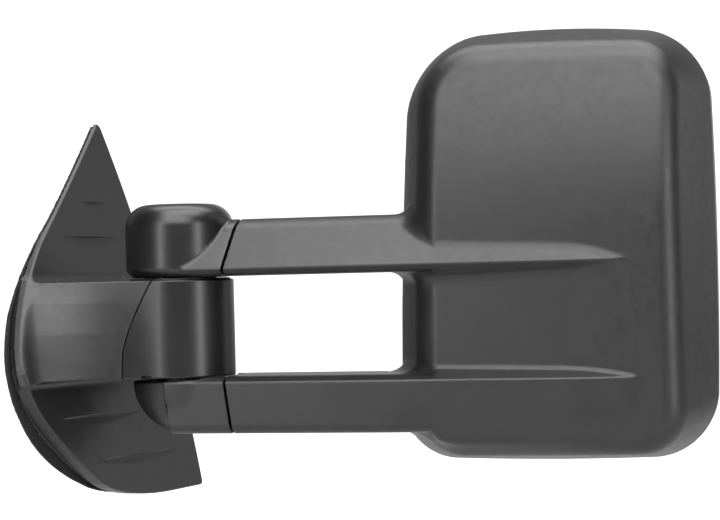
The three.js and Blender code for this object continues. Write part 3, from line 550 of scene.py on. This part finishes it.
sail_edge = outline_field(sail_outline())
plate_edge = outline_field(sail_outline(2))
seal_edge = outline_field(sail_outline(6))
# Pressed marks in the sail's face: z of the sharp edge, y from and to, height and depth.
SAIL_MARKS = ((58, 46, 87, 7, 1.5), (31, 8, 87, 8, 1.6), (-101, -56, 53, 8, 1.6), (-133.5, -22, 94, 8, 1.6))


def sail_marks(y, z):
    """How far the face is pressed in: each mark is a lens with a sharp upper edge."""
    depth = 0
    for edge, start, end, height, deep in SAIL_MARKS:
        share = np.clip((y - start) / (end - start), 0, 1)
        lens = 4 * share * (1 - share)
        below = edge - z
        ramp = smooth((below + 0.6) / 1.2) * (1 - smooth(below / np.maximum(height * lens, 0.1)))
        depth = depth + deep * lens * ramp
    return depth


def neck_front(z):
    """y where the neck's front runs out on the sail at height z."""
    return between(z, (-80, -82.5), (-60, -79), (-40, -72), (-18, -60), (0, -46))


def neck_side(x, y, z, end, start=-4, power=1.9):
    """Distance outside one side of the neck, which sweeps out from the pivot to the sail."""
    reach = start - sail_face(end, z)
    share = np.clip((start - x) / reach, 0, 1.02)
    swell = abs(end) - NECK_R
    wall = NECK_R + swell * share**power
    slant = swell * power * share ** (power - 1) / reach
    return (np.sign(np.asarray(end)) * y - wall) / np.hypot(1, slant)


def neck_walls(x, y, z):
    front = neck_side(x, y, z, neck_front(z))
    rear = neck_side(x, y, z, np.full_like(np.asarray(z, float), 72.0))
    beam = np.maximum(front, rear)
    return np.where(x > -4, np.hypot(np.maximum(x + 4, 0) * (NECK_R / (NECK_R + 4)), y) - NECK_R, beam)


def neck(x, y, z, inset=0.0):
    """The neck with its round end about the fold axis."""
    ends = np.maximum(z - NECK_TOP, NECK_BOTTOM - z) + inset
    return carve(neck_walls(x, y, z) + inset, ends, radius=1.2)


def track(x, y, z):
    """The low ring on the neck's top that the cap turns over."""
    around = np.hypot(x, y)
    return np.maximum(np.maximum(around - 36, 27 - around), np.maximum(z - TRACK_TOP, NECK_TOP - 1 - z))


def split_x(z):
    """x of the line that parts the sail cover from the neck cover."""
    return SPLIT_LOW + SPLIT_RUN * np.clip((z + 58) / 63, 0, 1) ** 1.5


PIVOT_CLEAR = 40.2  # the lower arm's corners stay outside this radius


def relief(x, y, z):
    """Room under the neck where the lower arm's top corners pass as the arm folds."""
    return np.maximum(np.maximum(z - NECK_BOTTOM - 2.4, -17 - x), PIVOT_CLEAR - np.hypot(x, y))


def sail_cover(x, y, z):
    behind = sail_face(y, z) - x  # depth behind the face
    edge = sail_edge(y, z)
    skin = carve(carve(sail_marks(y, z) - behind, edge, radius=1.6), behind - cover_depth(z))
    pocket = np.maximum(np.maximum(WALL - behind, edge + WALL), z - 40)
    bulk = np.maximum(np.maximum(neck(x, y, z), behind - 3), edge + 1)
    outer = np.minimum(weld(skin, bulk, 7 * smooth((-6 - x) / 20) + 0.01), track(x, y, z))
    hollow = np.maximum(neck(x, y, z, WALL), behind - 30)
    shell = np.maximum(np.maximum(outer, -hollow), -pocket)
    shell = np.maximum(shell, np.where(np.abs(z + 38) > 32, 28 - np.hypot(x, y), -1))
    shell = carve(shell, np.where(z > -78, x - split_x(z), -1), radius=0.5)
    return np.maximum(shell, -relief(x, y, z))


def neck_cover(x, y, z):
    outer = np.minimum(np.maximum(neck(x, y, z), -neck(x, y, z, WALL)), track(x, y, z))
    bores = 28 - np.hypot(x, y)
    shell = np.maximum(outer, np.where(np.abs(z + 38) > 32, bores, -1))
    shell = carve(shell, split_x(z) + 0.45 - x, radius=0.5)
    return np.maximum(shell, -relief(x, y, z))


DOOR_FACE = np.array(PIVOT) / -MM  # the part's origin, from the datum
DOOR_LEAN = math.radians(9.64)
DOOR_OUT = (
    math.cos(DOOR_LEAN) * math.cos(SWEEP),
    -math.cos(DOOR_LEAN) * math.sin(SWEEP),
    math.sin(DOOR_LEAN),
)
DOOR_REAR = (math.sin(SWEEP), math.cos(SWEEP), 0.0)
DOOR_UP = (-math.sin(DOOR_LEAN) * math.cos(SWEEP), math.sin(DOOR_LEAN) * math.sin(SWEEP), math.cos(DOOR_LEAN))
BRACKET_CORNERS = ((58, -96), (58, 62), (6, 62), (-60, 12), (-60, -48), (-8, -96))
BRACKET_THICK = 6
STUDS = ((40, 24), (-38, 0), (38, -78))
COVER_SCREWS = ((48, -44), (-38, -58), (4, -84))
STUD_R = 3
THREAD_PITCH, THREAD_DEEP = 1.25, 0.42


def door_axes(x, y, z):
    """Distances out of the door, rearward and up it, from the middle of the bracket's face."""
    off = (x - DOOR_FACE[0], y - DOOR_FACE[1], z - DOOR_FACE[2])
    return [sum(a * o for a, o in zip(axis, off)) for axis in (DOOR_OUT, DOOR_REAR, DOOR_UP)]


def bracket_outline(rearward, up, radius):
    pairs = zip(BRACKET_CORNERS, BRACKET_CORNERS[1:] + BRACKET_CORNERS[:1])
    return carve(*[line(rearward, up, a, b) for a, b in pairs], radius=radius)


PLATE_RIB_PITCH = (26, 32)  # rearward and up the door
PLATE_RIB_SHIFT = 200


def base_plate(x, y, z):
    behind = sail_face(y, z) - x
    edge = plate_edge(y, z) + 3
    _, rearward, up = door_axes(x, y, z)
    hole = bracket_outline(rearward, up, 9) - 1
    slab = np.maximum(cover_depth(z) + GAP - behind, behind - plate_depth(z))
    across = np.abs((rearward + PLATE_RIB_SHIFT) % PLATE_RIB_PITCH[0] - PLATE_RIB_PITCH[0] / 2) - 0.8
    along = np.abs((up + PLATE_RIB_SHIFT) % PLATE_RIB_PITCH[1] - PLATE_RIB_PITCH[1] / 2) - 0.8
    rib = carve(np.minimum(across, along), edge + 15, behind - plate_depth(z) - 1.6, radius=0.4)
    rib = np.maximum(rib, plate_depth(z) - 0.4 - behind)
    plate = np.minimum(carve(slab, edge, radius=0.3), rib)
    return np.maximum(np.maximum(plate, z - 36), -hole)


def door_gasket(x, y, z):
    """A ring of foamed rubber with two rounded lips that press on the door."""
    behind = sail_face(y, z) - x - plate_depth(z) - GAP
    deep = seal_depth(z) - plate_depth(z) - GAP
    inward = -seal_edge(y, z)
    share = np.clip(behind / deep, 0, 1)
    waist = 0.8 * np.sin(3 * math.pi * share) ** 2
    ring = np.maximum(1 + waist - inward, inward - 11 + waist)
    lips = 0.32 * deep * (np.cos((inward - 1) / 10 * 2 * math.pi) * -0.5 - 0.5) * -1
    valley = deep - lips * smooth((deep - 2) / 2)
    return carve(carve(ring, behind - valley, radius=1.0), -behind)


SPLIT_PLANE = 60  # the sail's grid reaches the parting line here


def over_sail(u, y, z):
    """A placement that follows the sail's face at u = 0 and the parting line at SPLIT_PLANE."""
    face = sail_face(y, z)
    reach = np.maximum(split_x(z) - face - 3, 15) / (SPLIT_PLANE - 3)
    return face + np.minimum(u, 3) + np.maximum(u - 3, 0) * reach, y, z


def from_split(u, y, z):
    return split_x(z) + u, y, z


def over_plate(shift):
    """A placement that follows a depth behind the sail's face."""

    def place(u, y, z):
        return sail_face(y, z) - shift(z) + u, y, z

    return place


def base_bracket(x, y, z):
    """The casting: door plate, I-section neck and the knuckle that the post turns in."""
    out, rearward, up = door_axes(x, y, z)
    outline = bracket_outline(rearward, up, 9)
    plate = carve(outline, np.maximum(-out, out - BRACKET_THICK), radius=0.8)
    for at in STUDS:
        plate = np.maximum(plate, STUD_R + GAP - np.hypot(rearward - at[0], up - at[1]))
    for at in COVER_SCREWS:
        around = np.hypot(rearward - at[0], up - at[1])
        plate = np.maximum(plate, np.where(out < 3.2, 5, 2.3) - around)
    flare_front = line(x, y, (-110, -4), (-84, -10)), line(x, y, (-84, -10), (-40, -29))
    flange = np.maximum(np.maximum(flare_front[0], flare_front[1]), line(x, y, (-40, -29), (-6, -27)))
    flange = np.maximum(flange, np.maximum(line(x, y, (-6, 27), (-110, 44)), x + 6))
    levels = np.minimum(np.abs(z + 11) - 3.5, np.abs(z + 65.5) - 3.5)
    web = np.maximum(np.maximum(np.abs(y) - 6, np.abs(z + 38) - 30), x + 20)
    beam = weld(carve(flange, levels, radius=1), web, 4)
    beam = np.maximum(beam, -out)
    knuckle = carve(np.hypot(x, y) - 30, np.abs(z + 38.25) - 31.75, radius=1)
    body = weld(weld(plate, beam, 5 * smooth((-30 - x) / 20) + 0.01), knuckle, 2)
    body = np.maximum(body, -out)
    bores = np.where(z > -28, 16 - np.hypot(x, y), 24 - np.hypot(x, y))
    return np.maximum(body, np.where(np.abs(z + 38) < 60, bores, -1))


# ---------------------------------------------------------------- fasteners and tubes
# Fasteners in the door's axes: out of the door, then across and up from the fastener's middle.
def on_door(at):
    def place(out, rearward, up):
        steps = (out, rearward + at[0], up + at[1])
        axes = (DOOR_OUT, DOOR_REAR, DOOR_UP)
        return [DOOR_FACE[i] + sum(a[i] * s for a, s in zip(axes, steps)) for i in range(3)]

    return place


def about(at, x, y, z):
    """Out of the door, distance from the fastener's axis, and the angle round it."""
    out, rearward, up = door_axes(x, y, z)
    across, above = rearward - at[0], up - at[1]
    return out, np.hypot(across, above), np.arctan2(above, across)


def thread(radius, along, angle):
    turn = (along / THREAD_PITCH - angle / (2 * math.pi)) % 1
    return radius - THREAD_DEEP * (1 - np.abs(2 * turn - 1))


def door_stud(at):
    def field(x, y, z):
        out, around, angle = about(at, x, y, z)
        cut = np.where(out < 0, thread(STUD_R, out, angle), STUD_R)
        shank = carve(around - cut, -30 - out, radius=0.9)
        head = carve(around - 7, np.maximum(out - 9.5, BRACKET_THICK + GAP - out), radius=0.7)
        return np.minimum(np.maximum(shank, out - 8), head)

    return field


def hexagon(around, angle, half):
    return around * np.cos((angle + math.pi / 6) % (math.pi / 3) - math.pi / 6) - half


def flange_nut(at):
    def field(x, y, z):
        out, around, angle = about(at, x, y, z)
        body = np.maximum(hexagon(around, angle, 5), np.maximum(-10 - out, out + 4.5))
        body = np.maximum(body, (around - 5.2 - 1.7 * (out + 10)) * 0.5)
        flange = carve(around - 7.5, np.maximum(out + 3.6, -5.2 - out), radius=0.4)
        flange = np.maximum(flange, (around - 6.3 - 0.9 * (-4 - out)) * 0.7)
        return np.maximum(np.minimum(body, flange), STUD_R + GAP - around)

    return field


def cover_screw(at):
    def field(x, y, z):
        out, around, angle = about(at, x, y, z)
        dome = np.hypot(around, out - 8.1) - 7.7
        head = carve(np.maximum(around - 4.2, dome), out - 2.9, radius=0.3)
        arm = np.minimum(np.abs(around * np.cos(angle)), np.abs(around * np.sin(angle)))
        recess = np.maximum(np.maximum(arm - 0.55, around - 2.4), out - 1.9)
        shank = np.maximum(around - 2, out - 11)
        return np.minimum(np.maximum(head, -recess), np.maximum(shank, 2.5 - out))

    return field


def slide_tube(mid):
    """A drawn steel tube with rounded corners, open at both ends."""

    def field(x, y, z):
        outer = carve(np.abs(y - TUBE_Y) - TUBE_DEPTH / 2, np.abs(z - mid) - TUBE_HEIGHT / 2, radius=4)
        inner = outer + TUBE_WALL
        ends = np.maximum(TUBE_START - x, x - TUBE_END)
        return np.maximum(carve(outer, ends, radius=0.5), -inner)

    return field


# ---------------------------------------------------------------- glass side
MAIN_GLASS = {"z": 68, "width": 192, "height": 165, "corner": 48, "radius": 0}
SPOT_GLASS = {"z": -82, "width": 194, "height": 88, "corner": 24, "radius": 1100}
GLASSES = {"main": MAIN_GLASS, "spot": SPOT_GLASS}
GLASS_Y = 50
GLASS_THICK = 3.2
CARRIER_THICK = 3.2
CARRIER_BACK = GLASS_Y - GLASS_THICK - GAP
GLASS_CLEAR = 3.5
SPOT_RISE = 4.6  # how far the curved glass stands out in its middle
BEZEL_ROUND = 8


def glass_outline(glass, x, z):
    half_w, half_h = glass["width"] / 2, glass["height"] / 2
    across = np.abs(x - GLASS_X) - half_w
    up = np.abs(z - glass["z"]) - half_h
    return carve(across, up, radius=glass["corner"])


def glass_front(glass, x, z):
    """y of the reflecting face."""
    if not glass["radius"]:
        return np.full(np.broadcast(x, z).shape, float(GLASS_Y))
    spread = (x - GLASS_X) ** 2 + (z - glass["z"]) ** 2
    return GLASS_Y + SPOT_RISE - spread / (2 * glass["radius"])


def glass_plate(glass):
    def field(x, y, z):
        edge = glass_outline(glass, x, z) + 2.1
        return carve(edge, y - glass_front(glass, x, z), CARRIER_BACK + GAP - y, radius=0.7)

    return field


BALL_Y = 34
TRAY_RIB_PITCH = 40


def carrier(glass):
    """The tray that holds the glass: a back plate, a rim round the edge and stiffening ribs."""

    def field(x, y, z):
        edge = glass_outline(glass, x, z)
        front = CARRIER_BACK - CARRIER_THICK
        tray = carve(edge, front - y, y - glass_front(glass, x, z) + 0.7, radius=0.8)
        seat = np.maximum(edge + 1.8, CARRIER_BACK - y)
        tray = np.maximum(tray, -seat)
        at = np.hypot(x - GLASS_X, z - glass["z"])
        cup = np.maximum(np.maximum(at - 12, 9.3 - at), np.maximum(31 - y, y - front - 1))
        ears = np.maximum(np.abs(x - GLASS_X) - 5, np.abs(np.abs(z - glass["z"]) - 21.5) - 1.8)
        ears = np.maximum(ears, np.maximum(BALL_Y - 4 - y, y - front - 1))
        pins = np.hypot(x - GLASS_X, y - BALL_Y) - 2.3
        ears = np.maximum(ears, -pins)
        across = np.abs((x - GLASS_X + 5 * TRAY_RIB_PITCH) % TRAY_RIB_PITCH - TRAY_RIB_PITCH / 2) - 0.9
        along = np.abs((z - glass["z"] + 5 * TRAY_RIB_PITCH) % TRAY_RIB_PITCH - TRAY_RIB_PITCH / 2) - 0.9
        ribs = np.maximum(np.minimum(across, along), np.maximum(edge + 6, front - 2 - y))
        ribs = np.maximum(np.maximum(ribs, y - front - 0.5), 26 - at)
        return np.minimum(np.minimum(tray, ribs), np.minimum(cup, ears))

    return field


def bezel(x, y, z):
    """The rounded rear rim with a well round each glass and a skirt inside the housing."""
    sides = head_sides(x, np.full_like(np.asarray(y, float), RIM_Y), z)
    skin = carve(sides, y - BEZEL_Y, radius=BEZEL_ROUND)
    skin = carve(skin, RIM_Y + GAP - y, radius=0.5)
    skirt = np.maximum(np.maximum(sides + WALL + 0.3, 40 - y), y - 55)
    hollow = carve(sides + 6, y - BEZEL_Y + WALL, radius=BEZEL_ROUND - WALL)
    shell = np.maximum(np.minimum(skin, skirt), -hollow)
    for glass in GLASSES.values():
        edge = glass_outline(glass, x, z)
        well = np.maximum(np.maximum(edge - GLASS_CLEAR - 2.2, 32 - y), y - BEZEL_Y + 1)
        shell = np.minimum(shell, well)
    for glass in GLASSES.values():
        opening = GLASS_CLEAR - glass_outline(glass, x, z)
        shell = carve(shell, opening, radius=1.6)
    return shell


# ---------------------------------------------------------------- materials
def shader_of(name):
    material = bpy.data.materials.new(name)
    material.use_nodes = True
    tree = material.node_tree
    return material, tree, tree.nodes["Principled BSDF"]


def node(tree, kind, inputs=(), **settings):
    made = tree.nodes.new(kind)
    for key, value in settings.items():
        setattr(made, key, value)
    for key, value in dict(inputs).items():
        if isinstance(value, bpy.types.NodeSocket):
            tree.links.new(value, made.inputs[key])
        else:
            made.inputs[key].default_value = value
    return made


def noise(tree, place, size, detail=2.0, roughness=0.5):
    """Noise with features of about the size in metres."""
    wave = {"Vector": place, "Scale": 1 / size, "Detail": detail, "Roughness": roughness}
    return node(tree, "ShaderNodeTexNoise", wave).outputs["Fac"]


def spread(tree, value, low, high):
    """The value, which lies about a half, stretched to run from low to high."""
    stretch = {"Value": value, "From Min": 0.3, "From Max": 0.7, "To Min": low, "To Max": high}
    return node(tree, "ShaderNodeMapRange", stretch).outputs["Result"]


def tint(tree, value, dark, light):
    return node(
        tree,
        "ShaderNodeMix",
        {"Factor": spread(tree, value, 0.0, 1.0), "A": (*dark, 1), "B": (*light, 1)},
        data_type="RGBA",
    ).outputs[2]


def plastic(name, dark, light, rough, grain, grain_size, level=0.5):
    """Moulded plastic: spark-eroded grain, a little cloudiness and uneven gloss."""
    material, tree, shader = shader_of(name)
    place = node(tree, "ShaderNodeTexCoord").outputs["Object"]
    tree.links.new(tint(tree, noise(tree, place, 0.02, 3), dark, light), shader.inputs["Base Color"])
    gloss = spread(tree, noise(tree, place, 0.006, 3), rough[0], rough[1])
    tree.links.new(gloss, shader.inputs["Roughness"])
    shader.inputs["Specular IOR Level"].default_value = level
    fine = noise(tree, place, grain_size, 3, 0.6)
    bump = node(tree, "ShaderNodeBump", {"Height": fine, "Strength": grain, "Distance": 0.0002})
    tree.links.new(bump.outputs["Normal"], shader.inputs["Normal"])
    return material


def metal(name, dark, light, rough, grain, grain_size, metallic=1.0):
    material, tree, shader = shader_of(name)
    place = node(tree, "ShaderNodeTexCoord").outputs["Object"]
    tree.links.new(tint(tree, noise(tree, place, 0.004, 4), dark, light), shader.inputs["Base Color"])
    gloss = spread(tree, noise(tree, place, 0.0015, 3), rough[0], rough[1])
    tree.links.new(gloss, shader.inputs["Roughness"])
    shader.inputs["Metallic"].default_value = metallic
    fine = noise(tree, place, grain_size, 3)
    bump = node(tree, "ShaderNodeBump", {"Height": fine, "Strength": grain, "Distance": 0.0002})
    tree.links.new(bump.outputs["Normal"], shader.inputs["Normal"])
    return material


def mirror_glass(name):
    """Silvered glass with a faint haze and the soft waviness of bent plate."""
    material, tree, shader = shader_of(name)
    place = node(tree, "ShaderNodeTexCoord").outputs["Object"]
    silver = tint(tree, noise(tree, place, 0.05, 2), (0.80, 0.84, 0.86), (0.84, 0.87, 0.89))
    tree.links.new(silver, shader.inputs["Base Color"])
    haze = spread(tree, noise(tree, place, 0.01, 4), 0.015, 0.04)
    tree.links.new(haze, shader.inputs["Roughness"])
    shader.inputs["Metallic"].default_value = 1.0
    bump = node(
        tree, "ShaderNodeBump", {"Height": noise(tree, place, 0.06, 1), "Strength": 0.03, "Distance": 0.0003}
    )
    tree.links.new(bump.outputs["Normal"], shader.inputs["Normal"])
    return material


FINISHES = {
    "textured_plastic": plastic("textured_plastic", (0.006,) * 3, (0.009,) * 3, (0.36, 0.44), 0.35, 0.0009),
    "satin_plastic": plastic("satin_plastic", (0.005,) * 3, (0.0075,) * 3, (0.31, 0.34), 0.02, 0.0012),
    "inner_plastic": plastic("inner_plastic", (0.02,) * 3, (0.03,) * 3, (0.5, 0.62), 0.5, 0.0014, 0.4),
    "nylon": plastic("nylon", (0.56, 0.54, 0.48), (0.64, 0.62, 0.56), (0.35, 0.45), 0.1, 0.0012),
    "seal_rubber": plastic("seal_rubber", (0.008,) * 3, (0.014,) * 3, (0.65, 0.8), 0.6, 0.0008, 0.3),
    "coated_steel": plastic("coated_steel", (0.012,) * 3, (0.018,) * 3, (0.22, 0.32), 0.15, 0.002),
    "cast_alloy": metal("cast_alloy", (0.36, 0.37, 0.38), (0.5, 0.5, 0.51), (0.42, 0.58), 0.6, 0.0012),
    "zinc_steel": metal("zinc_steel", (0.5, 0.49, 0.44), (0.66, 0.65, 0.62), (0.22, 0.36), 0.15, 0.001),
    "spring_steel": metal("spring_steel", (0.16, 0.16, 0.17), (0.24, 0.24, 0.25), (0.25, 0.4), 0.2, 0.0008),
    "mirror_glass": mirror_glass("mirror_glass"),
}
for part in frame["record"]["subparts"]:
    for held in frame["nodes"][part["node"]].material_slots:
        held.material = FINISHES[part["material_slot"]]

# ---------------------------------------------------------------- the pieces
housing_grid = (housing_x, housing_y, housing_z)
moulded("head_shell", housing, housing_grid, "head", "textured_plastic", ["head_housing"])
cover_z = {"upper": planes((-4, 7, 0.8), (7, 43, 1.8)), "lower": planes((-117, -79, 1.8), (-79, -69, 0.8))}
for arm, zs in cover_z.items():
    grid = (cover_x, cover_y, zs)
    moulded(f"{arm}_sleeve_back", sleeve_cover, grid, "head", "textured_plastic", [f"{arm}_sleeve_cover"])
moulded(
    "pivot_cap", upper_root, (root_x, root_y, upper_root_z), "fold_arm", "satin_plastic", ["upper_root_cover"]
)
bowl_grid = (root_x, root_y, lower_root_z)
moulded("pivot_bowl", lower_root, bowl_grid, "fold_arm", "textured_plastic", ["lower_root_cover"])

STEP = 1.7
sail_grid = (
    planes((-14, 3, 0.8), (3, 57, 2.5), (57, 62, 0.7)),
    planes((-85, 118, STEP)),
    planes((-169, -4.5, STEP), (-4.5, 0, 0.5), (0, 125, STEP)),
)
moulded(
    "sail_shell", sail_cover, sail_grid, "base", "textured_plastic", ["sail_cover"], place=over_sail
)
neck_grid = (
    planes((-1, 5, 0.6), (5, 74, 1.6)),
    planes((-62, 62, 1.8)),
    planes((-75, -69, 0.7), (-69, -7, 2.2), (-7, -0.6, 0.7)),
)
moulded("neck_shell", neck_cover, neck_grid, "base", "satin_plastic", ["neck_cover"], place=from_split)
plate_grid = (planes((-8, 1.5, 0.5)), planes((-84, 117, 2)), planes((-167, 40, 2)))
moulded(
    "backing_plate", base_plate, plate_grid, "base", "inner_plastic", ["base_plate"],
    place=over_plate(cover_depth),
)
seal_grid = (planes((-7, 1.2, 0.5)), planes((-89, 118, 1.5)), planes((-170, 124, 1.5)))
moulded(
    "foam_seal", door_gasket, seal_grid, "base", "seal_rubber", ["door_gasket"],
    place=over_plate(plate_depth),
)

bracket_grid = (planes((-128, 33, 1.9)), planes((-76, 78, 1.9)), planes((-154, 20, 1.9)))
moulded("cast_bracket", base_bracket, bracket_grid, "base", "cast_alloy", ["base_bracket"])
for i, at in enumerate(STUDS, 1):
    stud_across = planes((-7.6, -3.4, 0.6), (-3.4, 3.4, 0.4), (3.4, 7.6, 0.6))
    stud_grid = (planes((-31, 0, 0.28), (0, 10, 0.5)), stud_across, stud_across)
    moulded(
        f"weld_stud_{i}", door_stud(at), stud_grid, "base", "zinc_steel", [f"door_stud_{i}"],
        place=on_door(at), reach=0.2,
    )
    nut_grid = (planes((-10.5, -3.1, 0.45)), planes((-8, 8, 0.5)), planes((-8, 8, 0.5)))
    moulded(
        f"hex_nut_{i}", flange_nut(at), nut_grid, "base", "zinc_steel", [f"door_nut_{i}"],
        place=on_door(at), reach=0.3,
    )
for i, at in enumerate(COVER_SCREWS, 1):
    screw_grid = (planes((-0.2, 12, 0.35)), planes((-4.7, 4.7, 0.3)), planes((-4.7, 4.7, 0.3)))
    moulded(
        f"pan_screw_{i}", cover_screw(at), screw_grid, "base", "zinc_steel", [f"cover_screw_{i}"],
        place=on_door(at), reach=0.2,
    )
for arm, mid in TUBE_Z.items():
    ends = planes((29, 33, 0.7), (33, 327, 12), (327, 332, 0.7))
    tube_grid = (ends, planes((TUBE_Y - 12, TUBE_Y + 12, 0.8)), planes((mid - 14, mid + 14, 0.8)))
    moulded(
        f"{arm}_drawn_tube", slide_tube(mid), tube_grid, "fold_arm", "coated_steel", [f"{arm}_slide_tube"],
    )

for which, glass in GLASSES.items():
    half_w, half_h = glass["width"] / 2 + 2, glass["height"] / 2 + 2
    xs = planes((GLASS_X - half_w, GLASS_X + half_w, 2))
    zs = planes((glass["z"] - half_h, glass["z"] + half_h, 2))
    mirror_grid = (xs, planes((45.5, 56, 0.5)), zs)
    moulded(
        f"{which}_mirror", glass_plate(glass), mirror_grid, f"{which}_mirror", "mirror_glass",
        [f"{which}_glass"],
    )
    xs = planes((GLASS_X - half_w, GLASS_X + half_w, 1.9))
    zs = planes((glass["z"] - half_h, glass["z"] + half_h, 1.9))
    moulded(
        f"{which}_tray", carrier(glass), (xs, planes((29, 56, 0.9)), zs), f"{which}_mirror", "inner_plastic",
        [f"{which}_glass_carrier"],
    )
bezel_grid = (planes((154, 389, 1.9)), planes((31, 49, 2.2), (49, 64, 1.1)), planes((-141, 175, 1.9)))
moulded("rear_bezel", bezel, bezel_grid, "head", "satin_plastic", ["head_bezel"])

# ---------------------------------------------------------------- studio
CAMERA_TARGET = Vector((135.6, 0, 8))
CAMERA_DISTANCE = 1500
CAMERA_AZIMUTH = math.radians(14)  # towards the outboard end
CAMERA_HEIGHT = 0  # level with the datum
CAMERA_ROLL = math.radians(-1.4)


def datum(x, y, z):
    """A point given in millimetres from the datum."""
    return PIVOT + Vector((x, y, z)) * MM


def aimed(holder, at, target, roll=0.0):
    holder.location = at
    turn = (target - at).to_track_quat("-Z", "Y")
    holder.rotation_euler = (turn.to_matrix() @ Matrix.Rotation(roll, 3, "Z")).to_euler()
    bpy.context.scene.collection.objects.link(holder)


camera = bpy.data.objects.new("camera", bpy.data.cameras.new("camera"))
camera.data.lens = 104.7
camera.data.sensor_width = 36
side = CAMERA_TARGET + CAMERA_DISTANCE * Vector((math.sin(CAMERA_AZIMUTH), -math.cos(CAMERA_AZIMUTH), 0))
aimed(camera, datum(side.x, side.y, CAMERA_HEIGHT), datum(*CAMERA_TARGET), CAMERA_ROLL)
bpy.context.scene.camera = camera

MIDDLE = datum(160, 0, 20)


def softbox(name, azimuth, elevation, distance, width, height, power):
    """An area light seen from the object's middle: azimuth from straight ahead, towards outboard."""
    light = bpy.data.lights.new(name, "AREA")
    light.shape = "RECTANGLE"
    light.size, light.size_y = width, height
    light.energy = power
    a, e = math.radians(azimuth), math.radians(elevation)
    way = Vector((math.sin(a) * math.cos(e), -math.cos(a) * math.cos(e), math.sin(e)))
    aimed(bpy.data.objects.new(name, light), MIDDLE + way * distance, MIDDLE)


softbox("key", 6, 39, 2.4, 2.6, 1.6, 76)
softbox("overhead", 20, 77, 2.2, 2.4, 1.2, 58)
softbox("rear_top", 10, 110, 2.2, 2.4, 0.8, 30)
softbox("strip_left", -26, 4, 2.4, 0.35, 1.5, 17)
softbox("strip_right", 55.5, 4, 2.4, 0.35, 1.5, 21)

ROOM = 0.035  # how bright the unlit room is
FLOOR_BELOW = 0.28
lowest = CAD_BOX[0][2] - FLOOR_BELOW
floor_mesh = bpy.data.meshes.new("floor")
FLOOR_HALF = 30
floor_mesh.from_pydata(
    [(x * FLOOR_HALF, y * FLOOR_HALF, lowest) for x, y in ((-1, -1), (1, -1), (1, 1), (-1, 1))],
    [],
    [(0, 1, 2, 3)],
)
floor = bpy.data.objects.new("floor", floor_mesh)
bpy.context.scene.collection.objects.link(floor)
floor_material, floor_tree, floor_shader = shader_of("floor")
floor_place = node(floor_tree, "ShaderNodeTexCoord").outputs["Object"]
floor_tree.links.new(
    tint(floor_tree, noise(floor_tree, floor_place, 0.4, 3), (0.6, 0.6, 0.6), (0.62, 0.62, 0.62)),
    floor_shader.inputs["Base Color"],
)
floor_shader.inputs["Roughness"].default_value = 0.9
floor_shader.inputs["Emission Color"].default_value = (1, 1, 1, 1)
floor_seen = node(floor_tree, "ShaderNodeLightPath").outputs["Is Camera Ray"]
floor_glow = node(floor_tree, "ShaderNodeMath", {0: floor_seen, 1: 1.1}, operation="MULTIPLY")
floor_tree.links.new(floor_glow.outputs[0], floor_shader.inputs["Emission Strength"])
floor_mesh.materials.append(floor_material)

world = bpy.data.worlds.new("studio")
bpy.context.scene.world = world
world.use_nodes = True
sky = world.node_tree
background = sky.nodes["Background"]
way = node(sky, "ShaderNodeTexCoord").outputs["Generated"]
parts = node(sky, "ShaderNodeSeparateXYZ", {"Vector": way})


def ramp(value, start, end, low, high):
    """A soft step in the world's strength as a direction turns."""
    settings = {"Value": value, "From Min": start, "From Max": end, "To Min": low, "To Max": high}
    return node(sky, "ShaderNodeMapRange", settings, interpolation_type="SMOOTHSTEP").outputs["Result"]


backdrop = ramp(parts.outputs["Y"], 0.82, 0.97, 0.0, 1.1)
outboard = ramp(parts.outputs["X"], 0.6, 0.8, 0.22, 1.5)
behind = ramp(parts.outputs["Y"], 0.0, 0.4, 0.0, 1.0)
outboard = node(sky, "ShaderNodeMath", {0: outboard, 1: behind}, operation="MULTIPLY").outputs[0]
lit = node(sky, "ShaderNodeMath", {0: backdrop, 1: outboard}, operation="MAXIMUM").outputs[0]
lit = node(sky, "ShaderNodeMath", {0: lit, 1: ROOM}, operation="ADD").outputs[0]
seen = node(sky, "ShaderNodeLightPath").outputs["Is Camera Ray"]
glow = node(sky, "ShaderNodeMix", {"Factor": seen, "A": lit, "B": 1.25})
sky.links.new(glow.outputs[0], background.inputs["Strength"])
background.inputs["Color"].default_value = (1, 1, 1, 1)

bpy.context.scene.view_settings.view_transform = "Standard"
